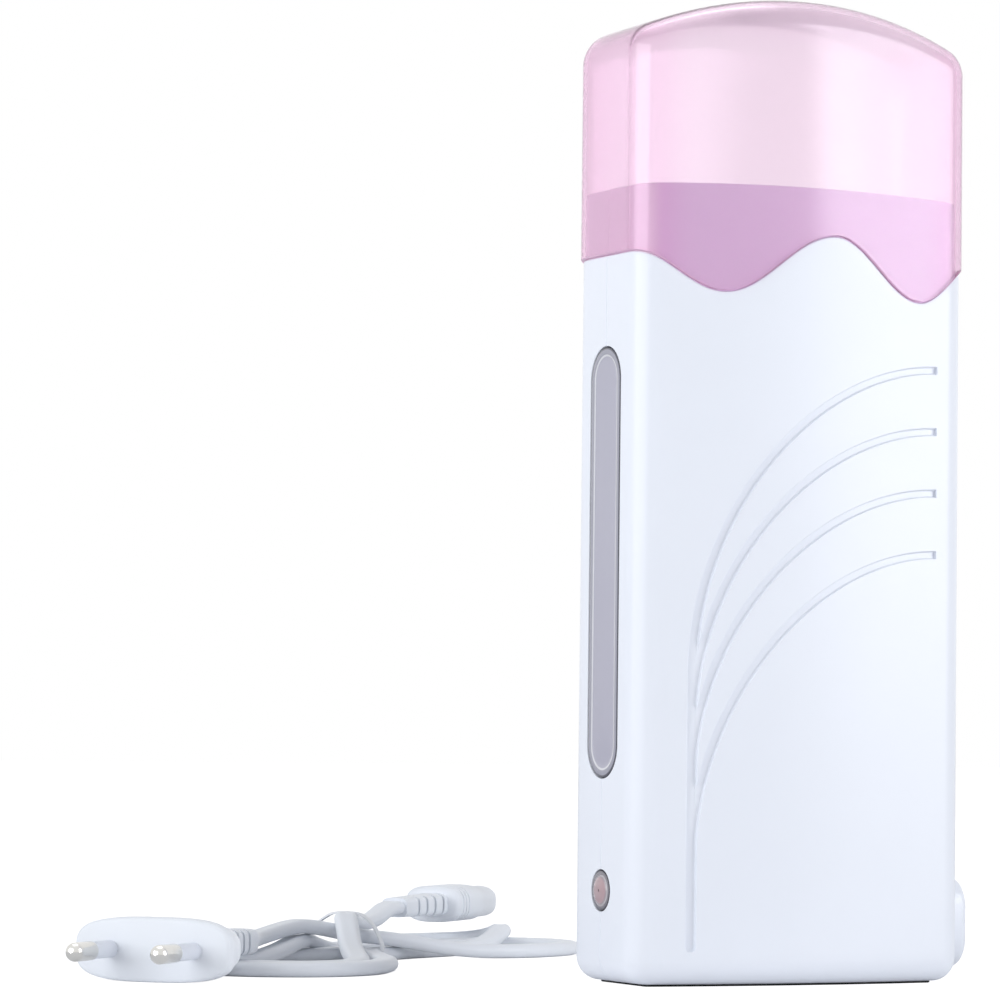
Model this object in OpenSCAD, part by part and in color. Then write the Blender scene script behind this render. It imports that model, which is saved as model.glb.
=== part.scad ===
// Roll-on wax heater: an upright warmer for one wax cartridge, with a domed
// see-through cap, a level window, an indicator light and a loose mains lead.
// Millimetres, +Z up, front towards -Y. The origin is the middle of the foot
// pad's underside. Window and light are on the -X side, the inlet on +X.

/* [Housing] */
// Height from the table to the crown of the cap
overall_h = 210.5; // [205:0.5:225]
// Width of the housing
body_w = 80; // [78:0.5:90]
// Depth of the housing over the middle of its bowed faces
body_d = 37.2; // [36.8:0.2:42]
// Radius of the upright corners
corner_r = 6.5; // [6:0.25:7.5]
// Radius of the bow of the front and rear faces
bow_r = 246; // [220:1:320]
// Rounding round the foot of the housing
foot_r = 5; // [4:0.25:5.5]
// Wall of the housing
wall = 2.4; // [2:0.1:2.8]
// Floor of the housing
floor_t = 2.4; // [2:0.1:3]
// Thickness of the soft pad glued under the foot
pad_t = 0.8; // [0.6:0.1:1.5]
// Height of the neck's rim at its middle
neck_top = 169.8; // [166:0.2:174]
// Radius of the slight arch of the neck's rim
neck_arch_r = 810; // [400:10:2000]

/* [Cap] */
// Wall of the cap
cap_wall = 1.3; // [1:0.1:1.6]
// How far the cap stands proud of the housing
cap_proud = 0.6; // [0.4:0.1:1]
// Running gap between the cap and the neck
cap_gap = 0.35; // [0.3:0.05:0.6]
// Radius of the arch over the cap's crown
crown_r = 97; // [85:1:130]

/* [Wavy joint line] */
// Height of the joint line on the narrow sides
line_z = 154.8; // [150:0.2:158]
// Drop of its two valleys
valley_drop = 8.3; // [4:0.1:10]
// Rise of its crest
crest_rise = 4.7; // [2:0.1:8]
// Place of the left valley
left_valley_x = -21; // [-24:0.5:-18]
// Place of the crest
crest_x = 5.5; // [2:0.5:8]
// Place of the right valley
right_valley_x = 27; // [24:0.5:30]

/* [Grooves] */
// Depth of the engraved grooves
groove_t = 0.8; // [0.4:0.1:1.2]
// Width at the free ends of the arches
groove_tip_w = 1.6; // [1.2:0.1:2]
// Width of the upright groove
groove_stem_w = 2.3; // [1.8:0.1:3]
// Place of the upright groove
stem_x = -27.3; // [-29:0.1:-25]
// Lower end of the upright groove
stem_low_z = 7.5; // [7:0.5:12]
// Place of the arches' free ends
tip_x = 31.8; // [28:0.2:33]
// Height of the topmost arch's free end
top_tip_z = 132.1; // [125:0.1:136]
// Spacing of the arches
arch_pitch = 13.3; // [12:0.1:14]
// How far each arch falls from its tip to the stem, topmost first
arch_drops = [65, 62.5, 61, 65];

/* [Window and light] */
// Width of the level window
window_w = 14.4; // [12:0.2:16]
// Lower end of the window
window_low_z = 43.4; // [41:0.2:50]
// Upper end of the window
window_top_z = 135.3; // [120:0.1:138]
// Width of the window lens's flat border
border_w = 2; // [1.4:0.1:2.6]
// How deep the window's field is sunk below its border
field_sink = 0.4; // [0.2:0.1:0.8]
// Diameter of the indicator lens
light_d = 8.9; // [7:0.1:10]
// Height of the indicator light
light_z = 19.8; // [17:0.2:23]

/* [Wax chamber] */
// Width of the wiring bay between the sleeve and the inlet's side
bay_w = 14.7; // [13.5:0.1:17]
// Sheet thickness of the sleeve
sleeve_t = 0.7; // [0.5:0.1:1]
// Corner radius of the sleeve
sleeve_r = 5; // [4:0.5:8]
// Gap between the sleeve and the window lens
sleeve_gap = 0.3; // [0.2:0.1:0.6]
// Gap between the sleeve and the front wall's inside at the corners
sleeve_front_gap = 0.35; // [0.2:0.05:0.6]
// Height of the sleeve's underside
sleeve_z = 38; // [37:0.5:40]
// Thickness of the chamber's top frame
frame_t = 2; // [1.6:0.1:3]
// How far the top frame lies below the neck's rim
frame_sink = 2.6; // [2:0.1:4]

/* [Heater] */
// Width of the heating plate
heater_w = 30; // [24:1:32]
// Height of the heating plate
heater_h = 60; // [50:1:70]
// Thickness of the heating plate
heater_t = 2.1; // [1.8:0.1:2.6]
// Gap between the insulating sheet and the rear wall
heater_gap = 0.4; // [0.3:0.1:1]
// Thickness of the spring clip
clip_t = 0.4; // [0.3:0.05:0.5]
// Diameter of the thermostat's body
thermostat_d = 15.5; // [14:0.1:16]

/* [Mains inlet] */
// Height of the inlet's collar
inlet_h = 20; // [19:0.5:21]
// Width of the inlet's collar
inlet_w = 13; // [12.5:0.1:14]
// How far the inlet stands out of the side
inlet_out = 6.5; // [5:0.25:8]
// Height of the inlet's middle
inlet_z = 12.6; // [12.4:0.1:13.5]
// Diameter of the contact pins
contact_d = 2.4; // [2.2:0.1:2.6]
// Spacing of the contact pins
contact_pitch = 8.6; // [8.4:0.1:8.8]
// Depth of the inlet's cavity
cavity_depth = 13; // [12:0.5:14]

/* [Fasteners] */
// Diameter of the housing screws' shank
screw_d = 2.7; // [2.5:0.1:3]
// Diameter of the screws' heads
screw_head_d = 5.2; // [4.8:0.1:5.6]
// Height of the screws' heads
screw_head_h = 1.8; // [1.4:0.1:2.2]
// Gap round a screw's shank
screw_gap = 0.06; // [0.05:0.01:0.1]
// Outer diameter of the screw posts
post_d = 6.6; // [6.2:0.1:7]

/* [Mains lead] */
// Width of the flat twin cord
cord_w = 5.4; // [5:0.1:6]
// Thickness of the flat twin cord
cord_t = 3.2; // [2.8:0.1:3.6]
// Width of the mains plug
plug_w = 35.4; // [34:0.2:37]
// Thickness of the mains plug
plug_t = 13.6; // [12:0.2:15]
// Length of the plug's moulded body
plug_l = 29; // [26:0.5:32]
// Diameter of the plug's pins
pin_d = 4; // [3.9:0.1:4.1]
// Length of the plug's pins
pin_l = 19; // [18.5:0.1:19.5]
// Spacing of the plug's pins
pin_pitch = 19; // [18.5:0.1:19.2]
// Length of the pins' insulating sleeves
pin_sleeve_l = 10; // [8:0.5:11]
// Width of the appliance connector
connector_w = 14.4; // [14:0.1:15]
// Thickness of the appliance connector
connector_t = 8.8; // [8.4:0.1:9.2]
// Length of the connector's moulded body
connector_l = 28; // [24:0.5:30]

/* [Hidden] */
$fn = 96;
bow_fn = 720;      // the bowed faces have a large radius
e = 0.01;          // overshoot of a cut
far = 300;         // longer than the part in any direction
flat_gap = 0.1;    // gap between a flat piece and its seat

white = [0.93, 0.95, 0.98];
pink = [0.95, 0.72, 0.86, 0.6];
metal = [0.75, 0.76, 0.78];
brass = [0.8, 0.68, 0.4];

// Plan of the housing: round corners joined by two bowed faces.
corner_x = body_w / 2 - corner_r;
bow_y = bow_r - body_d / 2;
corner_y = sqrt(pow(bow_r - corner_r, 2) - pow(corner_x, 2)) - bow_y;
corner_a = atan2(corner_y + bow_y, corner_x);

neck_inset = cap_wall + cap_gap - cap_proud;
cap_r = corner_r + cap_proud;

function bow_at(x, inset) = sqrt(pow(bow_r - inset, 2) - x * x) - bow_y;

// Rounds a length to a hundredth, so that joined shapes meet exactly.
function hundredths(v) = round(100 * v) / 100;

// The even plan at a given inset, as a flat shape. Its corner circles are a
// hair larger than tangent ones, so that they cross the faces at clean points.
corner_ease = 0.02;
module outline(inset = 0) {
    r = corner_r - inset;
    tangent_x = corner_x + r * cos(corner_a);
    reach_y = body_d + 2 * cap_r;
    intersection() {
        translate([0, -bow_y]) circle(bow_r - inset, $fn = bow_fn);
        translate([0, bow_y]) circle(bow_r - inset, $fn = bow_fn);
        square([2 * (corner_x + r), reach_y], center = true);
        union() {
            square([2 * tangent_x, reach_y], center = true);
            square([2 * (corner_x + cap_r + 1), 2 * corner_y], center = true);
            for (sx = [-1, 1], sy = [-1, 1])
                translate([sx * corner_x, sy * corner_y]) circle(r + corner_ease);
        }
    }
}

// Upright section of a wall of a given reach, with its lower outer edge round.
module foot_section(reach, h, edge) {
    translate([0, edge]) square([reach, h - edge]);
    square([reach - edge, edge]);
    translate([reach - edge, edge]) intersection() {
        circle(edge);
        translate([0, -edge]) square(edge);
    }
}

// The plan as a solid block with a round lower edge.
module footed_block(low, high) {
    h = high - low;
    translate([0, 0, low]) intersection() {
        linear_extrude(h) outline();
        rotate([90, 0, 0]) linear_extrude(2 * body_d, center = true) {
            foot_section(body_w / 2, h, foot_r);
            mirror([1, 0]) foot_section(body_w / 2, h, foot_r);
        }
        translate([0, -bow_y, 0]) rotate_extrude($fn = bow_fn) foot_section(bow_r, h, foot_r);
        translate([0, bow_y, 0]) rotate_extrude($fn = bow_fn) foot_section(bow_r, h, foot_r);
    }
}

// The wavy joint line: crests at both sides, two valleys and a crest between.
wave_x = [-body_w / 2 - 2, left_valley_x, crest_x, right_valley_x, body_w / 2 + 2];
wave_z = [line_z, line_z - valley_drop, line_z + crest_rise, line_z - valley_drop, line_z];
wave_step = 1.5;
line_gap = 0.3;    // gap between the cap's edge and the shoulder

function ease(t) = (1 - cos(180 * t)) / 2;
function wave_part(x) = x < wave_x[1] ? 0 : x < wave_x[2] ? 1 : x < wave_x[3] ? 2 : 3;
function wave_at(x) = let (i = wave_part(x), t = (x - wave_x[i]) / (wave_x[i + 1] - wave_x[i]))
    wave_z[i] + (wave_z[i + 1] - wave_z[i]) * ease(t);

// Everything below the joint line, raised by a given amount.
module below_line(rise) {
    reach = body_w / 2 + 1.5;
    rotate([90, 0, 0]) linear_extrude(2 * body_d, center = true)
        polygon([
            for (x = [-reach:wave_step:reach]) [x, wave_at(x) + rise],
            [reach, -e], [-reach, -e]
        ]);
}

// Housing
floor_z = pad_t + floor_t;
neck_low = line_z - valley_drop - 6;

module neck_arch() {
    rotate([90, 0, 0]) translate([0, neck_top - neck_arch_r, 0])
        cylinder(r = neck_arch_r, h = 2 * body_d, center = true, $fn = bow_fn);
}

module housing_wall() {
    difference() {
        union() {
            intersection() {
                footed_block(pad_t, line_z + crest_rise + 1);
                below_line(0);
            }
            intersection() {
                translate([0, 0, neck_low]) linear_extrude(neck_top + 1 - neck_low) outline(neck_inset);
                neck_arch();
            }
        }
        translate([0, 0, floor_z]) linear_extrude(neck_top) outline(wall);
    }
}

// A slot shape with round ends, upright, given its width and its two ends.
module slot(w, low, high) {
    translate([-w / 2, low + w / 2]) square([w, high - low - w]);
    translate([0, low + w / 2]) circle(d = w);
    translate([0, high - w / 2]) circle(d = w);
}

// Turns a flat shape drawn in (Y, Z) into a bar along X between two places.
module along_x(x0, x1) {
    translate([x0, 0, 0]) rotate([90, 0, 90]) linear_extrude(x1 - x0) children();
}

// A round bar along X from the origin, with a domed far end.
module domed_bar(l, d) {
    r = d / 2;
    rotate([0, 90, 0]) rotate_extrude() {
        square([r, l - r]);
        translate([0, l - r]) intersection() {
            circle(r);
            square(r);
        }
    }
}

side = body_w / 2;
side_in = side - wall;
lens_flange_t = 1.2;
lens_flange_w = 1.8;
lens_gap = 0.08;   // gap round a lens, a contact or a pin in its seat

module window_cut() { along_x(-side - 1, -side_in + 1) slot(window_w, window_low_z, window_top_z); }

module light_cut() { along_x(-side - 1, -side_in + 1) translate([0, light_z]) circle(d = light_d); }

neck_w = inlet_w - 2;
neck_h = inlet_h - 2;
module inlet_cut() {
    along_x(side_in - 1, side + 1)
        slot(neck_w + 2 * flat_gap, inlet_z - neck_h / 2 - flat_gap, inlet_z + neck_h / 2 + flat_gap);
}

// Grooves of the front: a stem and four arches that leave it one above another.
arch_bend = 1.9;   // 2 would make each arch a quarter of an ellipse
arch_steps = 22;

// Middle line of an arch from the stem (a = 0) to its free end (a = 90).
function arch_line(k, a) =
    let (
        top = top_tip_z - k * arch_pitch,
        span = tip_x - stem_x,
        c = pow(cos(a), 2 / arch_bend),
        s = pow(sin(a), 2 / arch_bend)
    )
    [tip_x - span * c, top - arch_drops[k] * (1 - s)];

function arch_width(a) = groove_stem_w + (groove_tip_w - groove_stem_w) * a / 90;

function arch_side(k, a, s) =
    let (
        d = 0.5,
        p = arch_line(k, a),
        q = arch_line(k, min(a + d, 90)) - arch_line(k, max(a - d, 0)),
        n = [-q[1], q[0]] / norm(q)
    )
    p + s * n * arch_width(a) / 2;

module arch(k) {
    step = 90 / arch_steps;
    polygon([
        for (a = [0:step:90 + e]) arch_side(k, min(a, 90), 1),
        for (a = [90:-step:-e]) arch_side(k, max(a, 0), -1)
    ]);
}

module groove_shape() {
    stem_high = top_tip_z - arch_drops[0];
    translate([stem_x - groove_stem_w / 2, stem_low_z]) square([groove_stem_w, stem_high - stem_low_z]);
    translate([stem_x, stem_low_z]) circle(d = groove_stem_w);
    for (k = [0:len(arch_drops) - 1]) arch(k);
}

module grooves() {
    low = stem_low_z - groove_stem_w;
    high = top_tip_z + groove_tip_w;
    difference() {
        rotate([90, 0, 0]) linear_extrude(body_d) groove_shape();
        translate([0, bow_y, low]) cylinder(r = bow_r - groove_t, h = high - low, $fn = bow_fn);
    }
}

// Screw posts
low_screw_z = 30.5;
bay_screw_x = side - 8.6;
screws = [
    [16 - side, low_screw_z], [side - 24, low_screw_z], [bay_screw_x, 62], [bay_screw_x, line_z - 12.8]
];
head_sink = 9;     // how far the heads lie below the rear face
head_gap = 0.4;

function seat_y(x) = bow_at(x, 0) - head_sink;

module at_screws() { for (p = screws) translate([p[0], 0, p[1]]) children(); }

// A round bar along Y between two places.
module along_y(y0, y1, d) {
    translate([0, y0, 0]) rotate([-90, 0, 0]) cylinder(d = d, h = y1 - y0);
}

screw_tip_y = -11;
module front_posts() {
    for (p = screws) translate([p[0], 0, p[1]]) along_y(-bow_at(p[0], wall / 2), 0, post_d);
}

module front_bores() { at_screws() along_y(screw_tip_y - 1, 1, screw_d + 2 * screw_gap); }

module rear_posts() {
    for (p = screws) translate([p[0], 0, p[1]]) along_y(0, bow_at(p[0], wall / 2), post_d + 2 * head_gap);
}

module rear_bores() {
    for (p = screws) translate([p[0], 0, p[1]]) {
        along_y(-1, body_d, screw_d + 2 * screw_gap);
        along_y(seat_y(p[0]), body_d, screw_head_d + 2 * head_gap);
    }
}

// Ribs inside both halves: a shelf under the sleeve and ledges under the frame.
sleeve_x0 = -side_in + lens_flange_t + sleeve_gap;
sleeve_x1 = side_in - bay_w;
sleeve_w = sleeve_x1 - sleeve_x0;
sleeve_mid_x = (sleeve_x0 + sleeve_x1) / 2;
sleeve_y0 = hundredths(-bow_at(sleeve_x0 + sleeve_r, wall) + sleeve_front_gap);

// The heating plate lies on the sleeve's rear, under a clip and a thin sheet.
sheet_t = 0.4;
heater_reach = abs(sleeve_mid_x) + heater_w / 2;
plate_y = hundredths(bow_at(heater_reach, wall) - heater_gap - sheet_t - clip_t - heater_t);
sleeve_d = plate_y - sleeve_y0;
sleeve_mid_y = sleeve_y0 + sleeve_d / 2;
frame_top = neck_top - frame_sink;
sleeve_top = frame_top - frame_t - flat_gap;
shelf_t = 3;
shelf_w = 4;
shelf_x = [sleeve_x0 + 10, sleeve_x1 - 14];
rib_gap = 0.2;
ledge_x = sleeve_x1 + rib_gap;

module ribs() {
    for (x = shelf_x)
        translate([x, 0, sleeve_z - shelf_t]) linear_extrude(shelf_t - flat_gap) intersection() {
            translate([-x, 0]) outline(wall / 2);
            difference() {
                translate([0, -body_d]) square([shelf_w, 2 * body_d]);
                translate([-e, -6]) square([shelf_w + 2 * e, 12]);
            }
        }
    translate([0, 0, frame_top - frame_t - shelf_t]) linear_extrude(shelf_t - flat_gap) intersection() {
        outline(neck_inset + 0.5);
        translate([ledge_x, -body_d]) square([side, 2 * body_d]);
        difference() {
            square([2 * body_w, 2 * body_d], center = true);
            translate([ledge_x - e, -4]) square([side, 8]);
        }
    }
}

module front_shell() color(white) difference() {
    union() {
        difference() {
            union() { housing_wall(); ribs(); }
            translate([-far, 0, -far]) cube(2 * far);
        }
        front_posts();
    }
    window_cut();
    light_cut();
    inlet_cut();
    grooves();
    front_bores();
}

module rear_shell() color(white) difference() {
    union() {
        difference() {
            union() { housing_wall(); ribs(); }
            translate([-far, -2 * far, -far]) cube(2 * far);
        }
        rear_posts();
    }
    window_cut();
    light_cut();
    inlet_cut();
    rear_bores();
}

module foot_pad() color([0.12, 0.12, 0.13]) linear_extrude(pad_t) outline(foot_r + flat_gap);

// Cap: a shell between two rounded forms that share their balls' centres.
crown_steps = 8;

function crown_at(x) = sqrt(pow(crown_r - cap_r, 2) - x * x) + overall_h - crown_r;

module cap_form(inset, low) {
    r = cap_r - inset;
    hull() {
        for (i = [-crown_steps:crown_steps], s = [-1, 1]) {
            x = corner_x * i / crown_steps;
            translate([x, s * bow_at(x, corner_r), crown_at(x)]) sphere(r, $fn = 40);
        }
        translate([0, 0, low]) linear_extrude(1) outline(inset - cap_proud, $fn = 64);
    }
}

module cap() color(pink) difference() {
    cap_form(0, neck_low);
    cap_form(cap_wall, neck_low - 1);
    below_line(line_gap);
}

// Chamber: a folded sleeve with a closed floor, a slot for the window and a
// frame that closes the neck round its mouth.
module round_box(w, d, r) {
    square([w, d - 2 * r], center = true);
    square([w - 2 * r, d], center = true);
    for (sx = [-1, 1], sy = [-1, 1])
        translate([sx * (w / 2 - r), sy * (d / 2 - r)]) circle(r);
}

module chamber_plan(inset) {
    translate([sleeve_mid_x, sleeve_mid_y])
        round_box(sleeve_w - 2 * inset, sleeve_d - 2 * inset, sleeve_r - inset);
}

slot_edge = 1.8;   // how far the sleeve's slot lies inside the window's outline
module wax_sleeve() color(metal) difference() {
    translate([0, 0, sleeve_z]) linear_extrude(sleeve_top - sleeve_z) chamber_plan(0);
    translate([0, 0, sleeve_z + sleeve_t]) linear_extrude(sleeve_top - sleeve_z) chamber_plan(sleeve_t);
    along_x(sleeve_x0 - 1, sleeve_x0 + sleeve_t + 0.2)
        slot(window_w - 2 * slot_edge, window_low_z + slot_edge, window_top_z - slot_edge);
}

module top_frame() color(white) translate([0, 0, frame_top - frame_t]) difference() {
    linear_extrude(frame_t) outline(wall + flat_gap);
    translate([0, 0, -1]) linear_extrude(frame_t + 2) chamber_plan(sleeve_t);
}

// Window lens: a flange inside the wall, a flush border and a sunk field.
module window_lens() color([0.74, 0.73, 0.8, 0.6]) difference() {
    union() {
        along_x(-side, -side_in + e)
            slot(window_w - 2 * lens_gap, window_low_z + lens_gap, window_top_z - lens_gap);
        along_x(-side_in, -side_in + lens_flange_t)
            slot(window_w + 2 * lens_flange_w, window_low_z - lens_flange_w, window_top_z + lens_flange_w);
    }
    along_x(-side - 1, -side + field_sink)
        slot(window_w - 2 * border_w, window_low_z + border_w, window_top_z - border_w);
}

// Indicator: a flanged lens with a socket behind it that holds the lamp.
lamp_d = 4.6;
lamp_l = 10;
socket_l = 6;
light_flange_w = 1.4;
light_border = 1.3;
light_dome = 0.5;
lamp_x = -side_in + lens_flange_t;

module disc_x(x0, x1, d) { along_x(x0, x1) translate([0, light_z]) circle(d = d); }

module indicator_lens() color([0.7, 0.56, 0.6, 0.7]) difference() {
    union() {
        disc_x(-side, -side_in + e, light_d - 2 * lens_gap);
        disc_x(-side - light_dome, -side + e, light_d - 2 * light_border);
        disc_x(-side_in, lamp_x, light_d + 2 * light_flange_w);
        disc_x(lamp_x - e, lamp_x + socket_l, lamp_d + 2.2);
    }
    disc_x(lamp_x, lamp_x + socket_l + 1, lamp_d + 0.2);
}

module indicator_lamp() color([0.9, 0.35, 0.2, 0.7])
    translate([lamp_x + lamp_l, 0, light_z]) mirror([1, 0, 0]) domed_bar(lamp_l - flat_gap, lamp_d);

// A cord or wire swept along a smooth route through chosen points. The
// reference direction is one that no stretch of the route follows.
ring_steps = 3;

function unit(v) = v / norm(v);

function smooth(a, b, c, d, t) =
    0.5 * ((2 * b) + (c - a) * t + (2 * a - 5 * b + 4 * c - d) * t * t + (3 * b - a - 3 * c + d) * t * t * t);

function route(p) = [
    for (i = [0:len(p) - 2], k = [0:ring_steps - 1])
        smooth(p[max(i - 1, 0)], p[i], p[i + 1], p[min(i + 2, len(p) - 1)], k / ring_steps),
    p[len(p) - 1]
];

function heading(c, i) = unit(c[min(i + 1, len(c) - 1)] - c[max(i - 1, 0)]);

module swept(points, w, t, sides, reference) {
    c = route(points);
    n = len(c);
    rings = [for (i = [0:n - 1])
        let (h = heading(c, i), across = unit(cross(reference, h)), up = cross(h, across))
        for (k = [0:sides - 1])
            let (a = 360 * k / sides)
            c[i] + across * (w / 2 * cos(a)) + up * (t / 2 * sin(a))];
    function at(i, k) = i * sides + k % sides;
    polyhedron(rings, concat(
        [[for (k = [0:sides - 1]) at(0, k)]],
        [[for (k = [sides - 1:-1:0]) at(n - 1, k)]],
        [for (i = [0:n - 2], k = [0:sides - 1]) [at(i, k), at(i + 1, k), at(i + 1, k + 1), at(i, k + 1)]]
    ));
}

module wire(points, d = wire_d) swept(points, d, d, 8, [0.3, 1, 0.1]);
module flat_cord(points) swept(points, cord_w, cord_t, 10, [0, 0, 1]);

wire_d = 1.6;

// Heater: a plate on the sleeve's rear, its spring clip and insulating sheet.
heater_mid_z = 92;
heater_low_z = heater_mid_z - heater_h / 2;
heater_top_z = heater_mid_z + heater_h / 2;
plate_mid_y = plate_y + heater_t / 2;
clip_y = plate_y + heater_t;
clip_h = 8;
clip_foot = 7;
clip_spread = 0.3;    // place of each strap, as a share of the plate's height
sheet_reach = 2;      // how far the sheet passes the plate above and below
module at_heater(z) { translate([sleeve_mid_x, 0, z]) children(); }

module heating_plate() color([0.82, 0.8, 0.74]) at_heater(heater_low_z)
    translate([-heater_w / 2, plate_y, 0]) cube([heater_w, heater_t, heater_h]);

module heater_clip() color(metal) for (s = [-1, 1])
    at_heater(heater_mid_z + s * clip_spread * heater_h - clip_h / 2) {
        half = heater_w / 2 + clip_t;
        translate([-half, clip_y, 0]) cube([2 * half, clip_t, clip_h]);
        for (m = [0, 1]) mirror([m, 0, 0]) {
            translate([heater_w / 2, plate_y, 0]) cube([clip_t, heater_t + e, clip_h]);
            translate([heater_w / 2, plate_y, 0]) cube([clip_foot, clip_t, clip_h]);
        }
    }

module insulating_sheet() color([0.9, 0.88, 0.8]) at_heater(heater_low_z - sheet_reach)
    translate([-heater_w / 2, clip_y + clip_t, 0]) cube([heater_w, sheet_t, heater_h + 2 * sheet_reach]);

// Thermostat on the sleeve's inner side face, with its bracket and fuse.
thermostat_z = 104;
bracket_t = 0.6;
bracket_h = 30;
bracket_w = 14;
body_x0 = sleeve_x1 + bracket_t;
body_l = 6;
tab_t = 0.8;
tab_w = 4;
tab_l = 4.2;
tab_off = 4.5;
module thermostat() color([0.16, 0.15, 0.14]) translate([body_x0, sleeve_mid_y, thermostat_z]) {
    rotate([0, 90, 0]) cylinder(d = thermostat_d, h = body_l);
    for (s = [-1, 1])
        translate([body_l - e, -tab_w / 2, s * tab_off - tab_t / 2]) cube([tab_l, tab_w, tab_t]);
}

module thermostat_bracket() color(metal)
    translate([sleeve_x1, sleeve_mid_y - bracket_w / 2, thermostat_z - bracket_h / 2])
        cube([bracket_t, bracket_w, bracket_h]);

fuse_d = 3.4;
fuse_l = 10;
fuse_z = 78;
fuse_x = sleeve_x1 + fuse_d / 2;
module thermal_fuse() color([0.8, 0.8, 0.75]) translate([fuse_x, sleeve_mid_y, fuse_z - fuse_l / 2])
    cylinder(d = fuse_d, h = fuse_l);

// Mains inlet: an insulating block through the side wall, with two pins.
block_in = 12;
pin_reach = 11;
tag_l = 5;
tag_w = 3;
tag_t = 0.8;
contact_x0 = side - block_in;
cavity_x0 = side + inlet_out - cavity_depth;
cavity_gap = 0.25;    // gap round the connector
cavity_round_z = 3.35;    // place of the cavity's round ends
cavity_waist = 6.3;       // width of the cavity between them
module cavity_shape() {
    for (s = [-1, 1]) translate([0, inlet_z + s * cavity_round_z]) circle(d = connector_t + 2 * cavity_gap);
    translate([-cavity_waist / 2, inlet_z - cavity_round_z]) square([cavity_waist, 2 * cavity_round_z]);
}
module inlet_socket() color(white) difference() {
    union() {
        along_x(side, side + inlet_out) slot(inlet_w, inlet_z - inlet_h / 2, inlet_z + inlet_h / 2);
        along_x(contact_x0, side + e) slot(neck_w, inlet_z - neck_h / 2, inlet_z + neck_h / 2);
    }
    along_x(cavity_x0, side + inlet_out + 1) cavity_shape();
    for (s = [-1, 1]) along_x(contact_x0 - 1, cavity_x0 + 1)
        translate([0, inlet_z + s * contact_pitch / 2]) circle(d = contact_d + 2 * lens_gap);
}

module inlet_contacts() color(metal) for (s = [-1, 1]) {
    z = inlet_z + s * contact_pitch / 2;
    translate([contact_x0 - e, 0, z]) domed_bar(cavity_x0 + pin_reach - contact_x0, contact_d);
    translate([contact_x0 - tag_l, -tag_w / 2, z - tag_t / 2]) cube([tag_l, tag_w, tag_t]);
}

// Wiring. Wires stop a soldered joint's width short of what they serve.
joint_gap = 0.1;
tag_x = contact_x0 - tag_l;
live_z = inlet_z + contact_pitch / 2;
neutral_z = inlet_z - contact_pitch / 2;
tab_x = body_x0 + body_l + tab_l - 1.5;
tab_low_z = thermostat_z - tab_off - tab_t / 2 - joint_gap;
tab_top_z = thermostat_z + tab_off + tab_t / 2 + joint_gap;
fuse_low_z = fuse_z - fuse_l / 2 - joint_gap;
fuse_top_z = fuse_z + fuse_l / 2 + joint_gap;
plate_lead_x = sleeve_mid_x + heater_w / 2 - 6;

module live_wire() color([0.75, 0.2, 0.15]) {
    wire([
        [tag_x - joint_gap, 0, live_z], [tag_x - 2.6, 0, live_z], [tag_x - 3, -1, live_z + 2.8],
        [tag_x - 1, sleeve_mid_y - 1, live_z + 8], [fuse_x, sleeve_mid_y - 1, sleeve_z - shelf_t],
        [fuse_x, sleeve_mid_y, (sleeve_z + fuse_low_z) / 2],
        [fuse_x, sleeve_mid_y, fuse_low_z]
    ]);
    wire([
        [fuse_x, sleeve_mid_y, fuse_top_z], [fuse_x + 0.6, sleeve_mid_y, fuse_top_z + 4],
        [tab_x - 1, sleeve_mid_y, tab_low_z - 6.5], [tab_x, sleeve_mid_y, tab_low_z - 3],
        [tab_x, sleeve_mid_y, tab_low_z]
    ]);
}

module neutral_wire() color([0.2, 0.35, 0.7]) wire([
    [tag_x - joint_gap, 0, neutral_z], [tag_x - 2.6, 0, neutral_z], [tag_x - 6, 2, neutral_z + 3],
    [tag_x - 13, 8, sleeve_z - 13], [shelf_x[1] - 2.9, plate_y + 1.3, sleeve_z - 2],
    [plate_lead_x, plate_mid_y, sleeve_z + 6], [plate_lead_x, plate_mid_y, heater_low_z - joint_gap]
]);

module switched_wire() color([0.75, 0.2, 0.15]) wire([
    [tab_x, sleeve_mid_y, tab_top_z], [tab_x, sleeve_mid_y, tab_top_z + 3],
    [tab_x - 2.2, sleeve_mid_y + 4, tab_top_z + 9], [sleeve_x1 + 2.3, plate_y - 0.5, heater_top_z + 4],
    [sleeve_x1 - 4.4, plate_y + 1.6, heater_top_z + 8], [plate_lead_x + 5, plate_y + 1.3, heater_top_z + 9],
    [plate_lead_x, plate_mid_y, heater_top_z + 5], [plate_lead_x, plate_mid_y, heater_top_z + joint_gap]
]);

lamp_wire_d = 0.9;
lamp_pitch = 2.4;     // spacing of the lamp's two leads
lamp_end = lamp_x + lamp_l;
resistor_d = 2.4;
resistor_l = 6.5;
resistor_x = lamp_end + 5;
resistor_end = resistor_x + resistor_l;
tag_hold = (tag_t + lamp_wire_d) / 2 + 0.02;    // wire's middle line from a tag's
module lamp_resistor() color([0.72, 0.6, 0.42]) along_x(resistor_x, resistor_end)
    translate([lamp_pitch / 2, light_z]) circle(d = resistor_d);

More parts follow.
